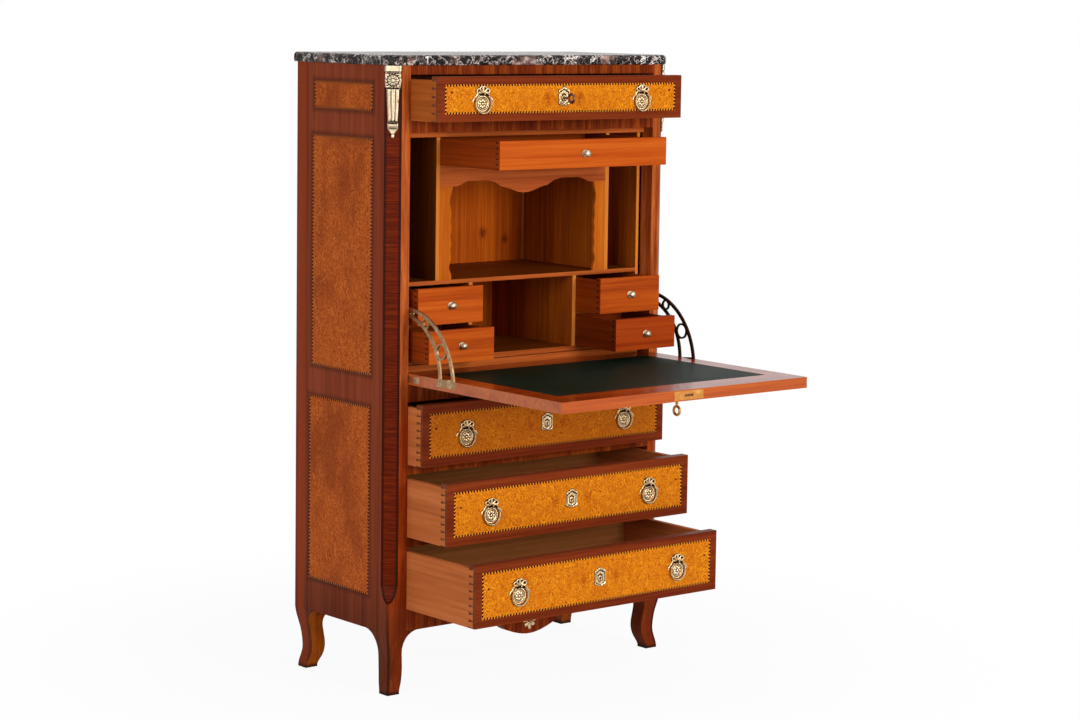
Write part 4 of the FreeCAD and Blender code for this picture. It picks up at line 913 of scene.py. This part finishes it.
def shield(outline, height, rings=28, turns=144):
    """A sheet round a middle: share s of the outline's reach at angle a, with height(s, a, across, up).
    The last two rows go down to the ground and back to the middle, so that the sheet is closed."""
    share, angle = np.meshgrid(np.linspace(0, 1, rings), around(turns), indexing="ij")
    reach = outline(angle)
    across, up = share * reach * np.sin(angle), -share * reach * np.cos(angle)
    out = height(share, angle, across, up)
    low = hollows(out)
    across = np.concatenate([across, across[-1:], across[:1]])
    up = np.concatenate([up, up[-1:], up[:1]])
    out = np.concatenate([out, np.zeros_like(out[:2])])
    return across, up, out, np.concatenate([low, low[-1:], low[-1:]])


print("a shield is a grid of", shield(np.ones_like, lambda share, *_: share)[0].shape, "points")

# %% Sheets: along a path, spun and looped
def strip(path, wide, thick, sides=10):
    """An oval section carried along a path (across, up, out), with its ends drawn in to a point."""
    path = np.asarray(path, float)
    along = np.gradient(path, axis=0)
    along /= np.linalg.norm(along, axis=1, keepdims=True) + 1e-9
    aside = np.cross(along, np.array([0, 0, 1.0]))
    aside /= np.linalg.norm(aside, axis=1, keepdims=True) + 1e-9
    turn = around(sides)
    ring = aside[:, None] * np.cos(turn)[None, :, None] * wide
    ring = ring + np.cross(aside, along)[:, None] * np.sin(turn)[None, :, None] * thick
    ends = np.broadcast_to(path[[0, -1], None], (2, sides + 1, 3))
    tube = np.concatenate([ends[:1], path[:, None] + ring, ends[1:]])
    # Painted shadow, partly patina: the ribbon's rims get a recess, so the tarnish darkens its outline as its
    # shadow and the gap under it would.
    low = np.clip(0.5 - 0.6 * np.abs(np.sin(turn)), 0, 1)[None, :] * np.ones((len(tube), 1))
    return tube[..., 0], tube[..., 1], tube[..., 2], low


def turned(profile, origin, axes, turns=40, recess=0.15):
    """A profile of radius against height, spun round the outward axis."""
    profile = np.asarray(profile, float)
    angle = around(turns)
    across = profile[:, :1] * np.cos(angle)
    up = profile[:, :1] * np.sin(angle)
    out = profile[:, 1:] * np.ones_like(angle)
    return stand(across, up, out, origin, axes), recess


def loop(radius, wire, origin, axes, beads=0, bare=0.0, turns=192, sides=16):
    """A ring in the across-up plane: its wire swells into beads, except near the top where it hangs."""
    turn, tube = np.meshgrid(around(turns), around(sides), indexing="ij")
    bulge = np.abs(np.cos(turn * beads / 2)) if beads else np.ones_like(turn)
    plain = np.clip((np.sin(turn) - 0.8) / 0.12, 0, 1) * bare
    thick = wire * (1 - (1 - bulge) * 0.26 * (1 - plain))
    reach = radius + thick * np.cos(tube)
    grid = stand(reach * np.cos(turn), reach * np.sin(turn), thick * np.sin(tube), origin, axes)
    return grid, np.clip(0.95 - bulge + plain, 0, 0.9) if beads else 0.2


print("a loop is a grid of", loop(9, 1, (0, 0, 0), FRONT)[0].shape[:2], "points")

# %% Joining sheets in one piece
SEAM, SHARP_ANGLE = 2e-6, math.radians(50)


def casting(name, body, sheets, finish, slot, *replaced):
    """Joins sheets of points and recesses in one mesh, merges seams and poles, and rides it on a body."""
    points, recess, faces, count = [], [], [], 0
    for grid, depth in sheets:
        rows, columns = grid.shape[:2]
        numbers = np.arange(rows * columns).reshape(rows, columns) + count
        corners = (numbers[:-1, :-1], numbers[:-1, 1:], numbers[1:, 1:], numbers[1:, :-1])
        faces.append(np.stack(corners, -1).reshape(-1, 4))
        points.append(grid.reshape(-1, 3))
        recess.append(np.broadcast_to(depth, (rows, columns)).ravel())
        count += rows * columns
    mesh = bpy.data.meshes.new(name)
    mesh.from_pydata(np.concatenate(points).tolist(), [], np.concatenate(faces).tolist())
    mesh.attributes.new("recess", "FLOAT", "POINT").data.foreach_set("value", np.concatenate(recess))
    work = bmesh.new()
    work.from_mesh(mesh)
    bmesh.ops.remove_doubles(work, verts=work.verts, dist=SEAM)
    bmesh.ops.recalc_face_normals(work, faces=work.faces)
    work.to_mesh(mesh)
    work.free()
    mesh.shade_smooth()
    mesh.set_sharp_from_angle(angle=SHARP_ANGLE)
    mesh.materials.append(finish)
    piece = bpy.data.objects.new(name, mesh)
    scene.collection.objects.link(piece)
    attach(piece, body)
    if replaced:
        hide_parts(*replaced)
    print(f"{name}: {len(mesh.polygons)} faces on {body}")


print("points within", SEAM, "m are merged")

# %% [markdown]
# ## Ring pulls and keyhole plates
# A pull is a medallion under a ribbon bow, with a beaded ring that hangs in an eye. The ring is a piece
# of its own, because it swings. The medallion and the keyhole plate are sheets round a middle, and the
# ribbon is an oval section carried along loops that start and end at the knot. Behind each keyhole sits
# a lock case, built of flat plates.

# %% Medallion
MEDALLION_RADIUS, PEARLS, PETALS = 18.3, 28, 8


def round_plate(angle):
    """Reach of the medallion: the same all round."""
    return np.full_like(angle, MEDALLION_RADIUS)


def medallion_height(share, angle, *_):
    """A rim of pearls, a groove, a plain ring, a second groove, and a rosette of petals round a button."""
    rim = 1.5 * dome(share - 0.89, 0.1) * (0.5 + 0.5 * np.abs(np.cos(angle * PEARLS / 2)))
    petal = np.abs(np.cos(angle * PETALS / 2)) ** 0.6 * dome(share - 0.38, 0.2) * 1.8
    return 0.9 + rim + 1.2 * dome(share - 0.68, 0.07) + petal + 2.0 * dome(share, 0.17)


print("medallion", 2 * MEDALLION_RADIUS, "mm wide with", PEARLS, "pearls")

# %% Ribbon bow over the ring
RING_RADIUS, RING_WIRE, RING_BEADS = 21, 2.3, 60
RIBBON_THICK, TAIL_THICK = 1.4, 1.1
# Lean, reach, swing, start and ribbon's half width of the upright loop and of the side loop.
BOW_LOOPS = ((0.34, 13.6, 5.2, 23.6, 1.7), (1.2, 17.0, 4.6, 23.0, 1.6))
# A dark sheet behind the curls, as painted shadow of the bow: half width, half height, thickness, and rise of
# its middle.
SHADOW_SHEET_WIDE, SHADOW_SHEET_TALL, SHADOW_SHEET_THICK, SHADOW_SHEET_RISE = 17.0, 10.4, 0.35, 28.0


def bow_strips():
    """Ribbons of one bow over a ring: for each side an upright loop, a side loop and a falling tail.
    A loop goes out by far * sin(pi t) along its lean and swings by wide * sin(2 pi t) across it."""
    t = np.linspace(0, 1, 48)[:, None]
    strips = []
    for side in (-1, 1):
        for lean, far, wide, start, ribbon in BOW_LOOPS:
            out, swing = far * np.sin(np.pi * t), wide * np.sin(2 * np.pi * t)
            across = side * (0.8 + out * math.sin(lean) + swing * math.cos(lean))
            up = start + out * math.cos(lean) - swing * math.sin(lean)
            curl = np.hstack([across, up, 1.7 + 1.3 * np.sin(np.pi * t)])
            strips.append(strip(curl, ribbon, RIBBON_THICK))
        turn = np.radians(74 - 66 * t)
        reach = RING_RADIUS + 4 + 1.3 * np.sin(t * 9) + 2.6 * t ** 4
        tail = np.hstack([side * reach * np.cos(turn), reach * np.sin(turn), 1.4 + 0.5 * np.sin(t * 9)])
        strips.append(strip(tail, 2.4 - 0.9 * t[:, :, None] ** 2, TAIL_THICK))
    return strips


def bow_shadow_sheet(angle):
    """Reach of the dark sheet of painted shadow behind the curls: an oval."""
    return 1 / np.hypot(np.sin(angle) / SHADOW_SHEET_WIDE, np.cos(angle) / SHADOW_SHEET_TALL)


def flat_shadow_sheet(share, *_):
    """The same small height everywhere."""
    return np.full_like(share, SHADOW_SHEET_THICK)


print("bow of", len(bow_strips()), "ribbons")

# %% Keyhole plate
# Right half of the plate's outline, from the foot to the crown, as millimetres across and up.
SHIELD_RIGHT = np.array([
    (0, -16.5), (4, -17.5), (8, -14.5), (13.5, -15.5), (17, -11), (15, -5), (15.8, 3), (15, 10),
    (17.5, 15), (14, 20), (9, 19), (5.5, 24.5), (0, 26)])
HOLE_RADIUS, SLIT_HALF, SLIT_END = 2.48, 1.2, 7.2
SCROLLS = ((13.8, 15.6), (13.4, -11.4))


def shield_outline(angle):
    """Reach of the keyhole plate: scrolled corners and a small crown, joined smoothly."""
    turn = np.arctan2(SHIELD_RIGHT[:, 0], -SHIELD_RIGHT[:, 1])
    reach = np.hypot(SHIELD_RIGHT[:, 0], SHIELD_RIGHT[:, 1])
    return sum(np.interp(fold(angle) + shift, turn, reach) for shift in (-0.05, 0, 0.05)) / 3


def keyhole_plate(origin, axes):
    """A sheet between the keyhole and the shield's outline: reach = hole + (outline - hole) times s."""
    share, angle = np.meshgrid(np.linspace(0, 1, 26), around(180), indexing="ij")
    down = np.cos(angle)
    slit = np.minimum(SLIT_HALF / np.maximum(np.abs(np.sin(angle)), 1e-6), SLIT_END / np.maximum(down, 1e-6))
    hole = np.maximum(HOLE_RADIUS, np.where(down > 0, slit, 0))
    reach = hole + (shield_outline(angle) - hole) * share
    across, up = reach * np.sin(angle), -reach * np.cos(angle)
    rims = 0.6 * bell(share, 0.1, 0.07) + 0.8 * bell(share, 0.88, 0.07)
    scroll = sum(np.exp(-((np.abs(across) - x) ** 2 + (up - y) ** 2) / 5.5) for x, y in SCROLLS)
    pearls = bell(up, 20.0, 1.5) * np.abs(np.cos(across * 1.05)) * 0.8
    leafage = 0.35 * np.abs(np.sin(angle * 7)) * bell(share, 0.6, 0.2)
    groove = bell(share, 0.68, 0.06) * 0.5 + bell(share, 0.3, 0.08) * 0.3
    out = np.clip(0.9 + rims + scroll * 0.9 + pearls + leafage - groove, 0.4, 2.4)
    low = hollows(out, 8, 0.3)
    out = out * np.clip((1.06 - share) * 9, 0.55, 1)

    def wall(sheet):
        """Adds the rows that go down to the ground at the hole and at the edge, and close the sheet."""
        return np.concatenate([sheet[:1], sheet, sheet[-1:], sheet[:1]])

    out = wall(out)
    out[[0, -2, -1]] = 0
    return stand(wall(across), wall(up), out, origin, axes), wall(low)


print("keyhole plate", np.ptp(SHIELD_RIGHT[:, 1]), "mm high")

# %% Lock cases
# Half width and thickness of a case, its reach below the keyhole, and its eased edges, in millimetres.
CASE_HALF, CASE_THICK, CASE_BELOW, EASED = 30, 9, 14, 0.4
# The channel of a moving bolt: its depth, and the places and half widths of the cheeks and skins round it.
CHANNEL_DEEP, CHEEK_OUT, CHEEK_HALF, SKIN_GAP, SKIN_HALF, SKIN_THICK = 16.2, 0.0211, 8.9, 0.0072, 12.2, 1.8
# A fixed bolt: half width, half depth, height, and its place behind and below the front's upper edge.
BOLT_HALF, BOLT_DEEP, BOLT_TALL, BOLT_BACK, BOLT_DROP = 12, 2.5, 3, 0.0175, 0.0031


def plate(half_across, half_up, thick, origin, axes=FRONT):
    """A flat plate: nearly a rectangle, |across|^24 + |up|^24 = 1, with its edges drawn in at both faces."""
    angle = around(128)
    reach = (np.abs(np.cos(angle)) ** 24 + np.abs(np.sin(angle)) ** 24) ** (-1 / 24)
    inset = np.array([[np.inf], [EASED], [0.0], [0.0], [EASED], [np.inf]])
    across = np.maximum(half_across - inset, 0) * np.cos(angle) * reach
    up = np.maximum(half_up - inset, 0) * np.sin(angle) * reach
    out = np.array([[0], [0], [EASED], [thick - EASED], [thick], [thick]]) * np.ones_like(angle)
    return stand(across, up, out, origin, axes), 0.2


def split_case(back, head, tall):
    """A lock case round the channel of a moving bolt: a block below, a cheek on each side, two skins."""
    half = CHANNEL_DEEP / 2
    middle = head - half * MM
    block = plate(CASE_HALF, tall / 2 - half, CASE_THICK, (0, back, head - (tall / 2 + half) * MM))
    cheeks = [plate(CHEEK_HALF, half, CASE_THICK, (sign * CHEEK_OUT, back, middle)) for sign in (-1, 1)]
    skins = [plate(SKIN_HALF, half, SKIN_THICK, (0, back - gap, middle)) for gap in (0, SKIN_GAP)]
    return [block, *cheeks, *skins]


def whole_case(front, back, head, tall):
    """A lock case in one block, with a fixed bolt at its head."""
    return [plate(CASE_HALF, tall / 2, CASE_THICK, (0, back, head - tall / 2 * MM)),
            plate(BOLT_HALF, BOLT_DEEP, BOLT_TALL, (0, front + BOLT_BACK, head - BOLT_DROP), TOP)]


print("lock cases", 2 * CASE_HALF, "mm wide and", CASE_THICK, "mm thick")

# %% Pulls, keyhole plates and lock cases on the long drawers
PEG = [(0, 0), (4.2, 0), (4.2, 1.2), (2.6, 1.9), (0, 1.9)]
PEG_EYE, PEG_EYE_WIRE = 3.72, 0.86
for name in ROPE_HALF_HEIGHTS:
    low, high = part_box(f"{name}_drawer_front")
    middle = (low + high) / 2
    sheets = [keyhole_plate((0, low.y, middle.z), FRONT)]
    for side in SIDES:
        ring_name = f"{name}_ring_{side}"
        ring_low, ring_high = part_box(ring_name)
        centre = (ring_low + ring_high) / 2
        spot = np.array([centre.x, low.y, centre.z])
        hang = RING_RADIUS * MM * UP
        # Painted shadow: a thin dark sheet behind the bow, with full recess so that the tarnish makes it
        # dark.
        ground, _ = placed(shield(bow_shadow_sheet, flat_shadow_sheet, 6, 72), spot + SHADOW_SHEET_RISE * MM * UP)
        sheets += [placed(shield(round_plate, medallion_height), spot), (ground, 1.0)]
        sheets += [placed(ribbon, spot) for ribbon in bow_strips()]
        sheets.append(turned(PEG, spot + hang, FRONT))
        sheets.append(loop(PEG_EYE, PEG_EYE_WIRE, np.array(centre) + hang, SIDE_ON, turns=40, sides=10))
        ring = loop(RING_RADIUS, RING_WIRE, centre, FRONT, RING_BEADS, bare=1.0)
        casting(f"{name}_beaded_ring_{side}", ring_name, [ring], gilt, "gilt_bronze", ring_name)
    casting(f"{name}_pull_castings", f"{name}_drawer", sheets, gilt, "gilt_bronze", f"{name}_drawer_mounts")
    tall = (high.z - middle.z) / MM + CASE_BELOW
    moving = name == "frieze"
    case = split_case(high.y, high.z, tall) if moving else whole_case(low.y, high.y, high.z, tall)
    casting(f"{name}_lock_case", f"{name}_drawer", case, bronze, "dark_bronze")

# %% [markdown]
# ## Corner drops and apron leaf
# Each canted corner carries a tapered drop: a slab, a block with a rosette, a fluted body and a pendant.
# Its rows are closed loops, as wide as the drop is at that height, so the sheet wraps round to the wood
# behind. The apron leaf hangs down, with lobes that fan out of one point.

# %% Relief of a corner drop
# Height of the rosette, and places of the curls across and up, all as shares.
ROSETTE_AT, CURLS = 0.8, ((0.84, 0.74), (0.84, 0.87))


def drop_relief(height, side, across, up, tall, half):
    """What stands out of the plain drop: flutes, a rosette with its button and leafage, curls, a slab,
    a foot and beads. Each is a swell or a wave in the height, the side share or the angle."""
    body = (height > 0.225) & (height < 0.68)
    flute = np.where(body, 1.9 * np.abs(np.cos(side * np.pi * 1.5)) ** 0.8, 0)
    above = up - ROSETTE_AT * tall
    reach, angle = np.hypot(across, above) / half, np.arctan2(above, across)
    petal = np.abs(np.cos(angle * 5)) ** 0.6
    rosette = np.clip(1 - (reach / 0.66) ** 4, 0, 1) * (1.3 + 1.5 * petal * np.clip(reach * 3, 0, 1))
    button = 2.4 * dome(reach, 0.22)
    curl = sum(bell(np.abs(across) / half, x, 0.16) * bell(height, y, 0.03) for x, y in CURLS)
    slab = np.where(height > 0.92, 2.6, 0) + bell(height, 0.912, 0.008) * np.abs(np.cos(across * 0.9)) * 1.6
    foot = bell(height, 0.18, 0.03) * 2.4 + bell(height, 0.226, 0.006) * 1.8
    beads = bell(height, 0.52, 0.012) * bell(np.abs(side), 0.86, 0.12) * 2.2
    block = np.clip((height - 0.69) / 0.02, 0, 1) * np.clip((0.9 - height) / 0.02, 0, 1) * (reach > 0.7)
    leafage = block * 0.9 * np.abs(np.sin(angle * 7 + reach * 5))
    return np.where(height > 0.07, flute + rosette + button + leafage + curl * 2 + slab + foot + beads, 0)


print("rosette at", ROSETTE_AT, "of the height, with", len(CURLS), "pairs of curls")

# %% Corner drops
# Width that the cant takes off each face, in metres; half width and thickness of a drop, in millimetres.
CANT, DROP_HALF, DROP_MOST = 0.027, 19.0, 8.9
# Half width of the drop at each height, both as shares, from the pendant to the slab.
DROP_SHARES = np.array([
    (0, 0), (0.16, 0.012), (0.22, 0.035), (0.16, 0.06), (0.3, 0.075), (0.64, 0.135), (0.68, 0.2),
    (0.62, 0.225), (0.74, 0.52), (0.78, 0.67), (0.94, 0.71), (1, 0.79), (0.96, 0.88), (0.9, 0.905),
    (1, 0.92), (1, 1)])


def corner_drop(origin, axes, tall, half):
    """Rows climb from the pendant; each row runs across the front and back along the wood."""
    level = np.unique(np.concatenate([np.linspace(0, 1, 150), DROP_SHARES[:, 1]]))
    height, side = np.meshgrid(level, np.linspace(-1, 1, 61), indexing="ij")
    wide = np.interp(height, DROP_SHARES[:, 1], DROP_SHARES[:, 0]) * half
    across, up = side * wide, height * tall
    round_edge = np.clip(1 - np.abs(side) ** 6, 0, 1) ** 0.4
    plain = np.minimum(4.4, wide * 1.3)
    out = (plain + drop_relief(height, side, across, up, tall, half)) * round_edge
    out = np.minimum(out, DROP_MOST)
    low = np.maximum(hollows(out, 5, 0.5), hollows(out, 26, 1.5))

    def close(sheet, back):
        """Carries each row back along the wood to where it started."""
        return np.concatenate([sheet, back, sheet[:, :1]], axis=1)

    flat = np.zeros((len(level), 2))
    grid = stand(close(across, across[:, [-1, 0]]), close(up, up[:, [-1, 0]]), close(out, flat), origin, axes)
    low = close(low, low[:, [-1, 0]])
    ends = np.broadcast_to(grid[[0, -1]].mean(axis=1, keepdims=True), (2,) + grid.shape[1:])
    return np.concatenate([ends[:1], grid, ends[1:]]), np.concatenate([low[:1], low, low[-1:]])


low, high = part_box("corner_mounts")
sheets = []
for sign in (-1, 1):
    axes = ((RIGHT - sign * OUT) / math.sqrt(2), UP, (sign * RIGHT + OUT) / math.sqrt(2))
    origin = (sign * (post_high.x - CANT / 2), post_low.y + CANT / 2, low.z)
    sheets.append(corner_drop(origin, axes, (high.z - low.z) / MM, DROP_HALF))
casting("corner_drops", "case", sheets, silvery, "gilt_bronze", "corner_mounts")

# %% Apron leaf
# Angle from lobe to lobe in degrees, height of the crest in metres, and thickness in millimetres.
LOBE_ANGLE, LEAF_CREST, LEAF_MOST = 48, 0.0085, 4.9
LOBE_WAVE = 180 / LOBE_ANGLE
# Reach of the leaf, in millimetres, at angles in degrees from straight down.
LEAF_ANGLES, LEAF_REACHES = (0, 48, 96, 130, 180), (21.5, 18.5, 21.5, 9.0, 7.5)


def leaf_outline(angle):
    """Five lobes: two level, two slanting and a long one straight down, under a low crest."""
    reach = np.interp(np.degrees(fold(angle)), LEAF_ANGLES, LEAF_REACHES)
    lobe = np.abs(np.cos(fold(angle) * LOBE_WAVE))
    notch = np.where(fold(angle) < math.radians(120), lobe, 1)
    return reach * (0.5 + 0.5 * notch ** 0.6)


def leaf_height(share, angle, *_):
    """Each lobe has a ridge and two channels, and the lobes rise out of a button."""
    ridge = np.abs(np.cos(fold(angle) * LOBE_WAVE)) ** 1.5
    channel = np.abs(np.cos(fold(angle) * LOBE_WAVE * 2)) ** 6 * np.clip(share * 3, 0, 1)
    swell = np.clip(1 - share ** 3, 0, 1) ** 0.5
    return 0.6 + swell * (1.2 + 2.0 * ridge - 0.8 * channel) + 1.6 * dome(share, 0.22)


low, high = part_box("apron_mount")
across, up, out, recess = shield(leaf_outline, leaf_height, 24, 180)
leaf_middle = ((low.x + high.x) / 2, high.y, high.z - LEAF_CREST)
leaf = stand(across, up, np.minimum(out, LEAF_MOST), leaf_middle)
casting("apron_leaf", "case", [(leaf, recess)], gilt, "gilt_bronze", "apron_mount")

# %% [markdown]
# ## Knobs, keys and screws
# Knobs and the shanks of keys are turned work, so each is one profile spun round its axis. The bow of a
# key is a plain ring. A screw's head is a small sheet that dips at its slot, and it sits almost flush,
# because the fall has to pass the posts.

# %% Turned knobs of the small drawers
KNOB = [
    (0, 0), (8.4, 0), (8.5, 0.8), (7.9, 1.7), (6.2, 2.0), (4.4, 2.3), (3.3, 3.1), (3.1, 4.4), (3.7, 5.6),
    (4.9, 6.4), (6.6, 7.6), (7.3, 9.2), (7.45, 10.6), (6.9, 12.2), (5.5, 13.6), (3.4, 14.5), (2.2, 14.6),
    (1.9, 14.9), (0, 15)]
for name in FRUITWOOD:
    low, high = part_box(f"{name}_knob")
    foot = ((low.x + high.x) / 2, high.y, (low.z + high.z) / 2)
    casting(f"{name}_turned_knob", f"{name}_small_drawer", [turned(KNOB, foot, FRONT)],
            knob_metal, "gilt_bronze", f"{name}_knob")

# %% Keys
SHANK = [
    (0, -15.9), (2.35, -15.9), (2.35, 8.8), (3.0, 9.0), (3.55, 9.6), (3.55, 11.4), (3.0, 12.0),
    (2.3, 12.4), (2.2, 14.6), (2.9, 15.4), (2.9, 16.4), (2.0, 17.0), (0, 17.0)]
# Radius and wire of a bow in millimetres; its distance from the keyhole, and that of the fall's keyhole
# from the edge of the fall, in metres.
BOW_RADIUS, BOW_WIRE, BOW_OUT, FALL_KEY_INSET = 9.2, 2.9, 0.0259, 0.038


def turned_key(name, mouth, axes, finish):
    """A shank that stands in the keyhole at mouth, with a ring for a bow at its end."""
    bow = np.array(mouth) + BOW_OUT * axes[2]
    sheets = [turned(SHANK, mouth, axes, 24), loop(BOW_RADIUS, BOW_WIRE, bow, SIDE_ON, turns=72)]
    casting(f"{name}_turned_key", f"{name}_key", sheets, finish, "dark_bronze", f"{name}_key")


low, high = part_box("frieze_drawer_front")
turned_key("frieze", (0, low.y, (low.z + high.z) / 2), FRONT, bronze)
low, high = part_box("fall_panel")
turned_key("fall", (0, low.y + FALL_KEY_INSET, low.z), DOWN, brass)

# %% Screws of the hinge plates and of the stays' foot plates
SCREW_RADIUS, SLOT_HALF, SLOT_FLOOR = 3.3, 0.6, 0.05
# Place of each screw, from the plates' front end and from their middle height.
SCREWS = ((0.013, 0), (0.04, 0), (-0.12, 0.004), (-0.071, 0.004))


def screw_outline(angle):
    """Reach of a screw's head: the same all round."""
    return np.full_like(angle, SCREW_RADIUS)


def slotted(share, _, across, up):
    """A nearly flat head with a slot across it."""
    head = 0.04 + 0.24 * np.sqrt(np.clip(1 - share ** 8, 0, 1))
    return np.where(np.abs(across - 0.4 * up) < SLOT_HALF, SLOT_FLOOR, head)


low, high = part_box("hinge_plates")
level = (low.z + high.z) / 2
across, up, out, _ = shield(screw_outline, slotted, 16, 48)
recess = np.where(out < 2 * SLOT_FLOOR, 0.8, 0.1)
sheets = []
for sign in (-1, 1):
    outward = (-sign * OUT, UP, sign * RIGHT)
    for behind, above in SCREWS:
        spot = (sign * high.x, low.y + behind, level + above)
        sheets.append((stand(across, up, out, spot, outward), recess))
casting("fall_screws", "fall", sheets, silvery, "dark_bronze")

# %% Print the visual box
low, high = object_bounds()
print("visual box", low[:], high[:])
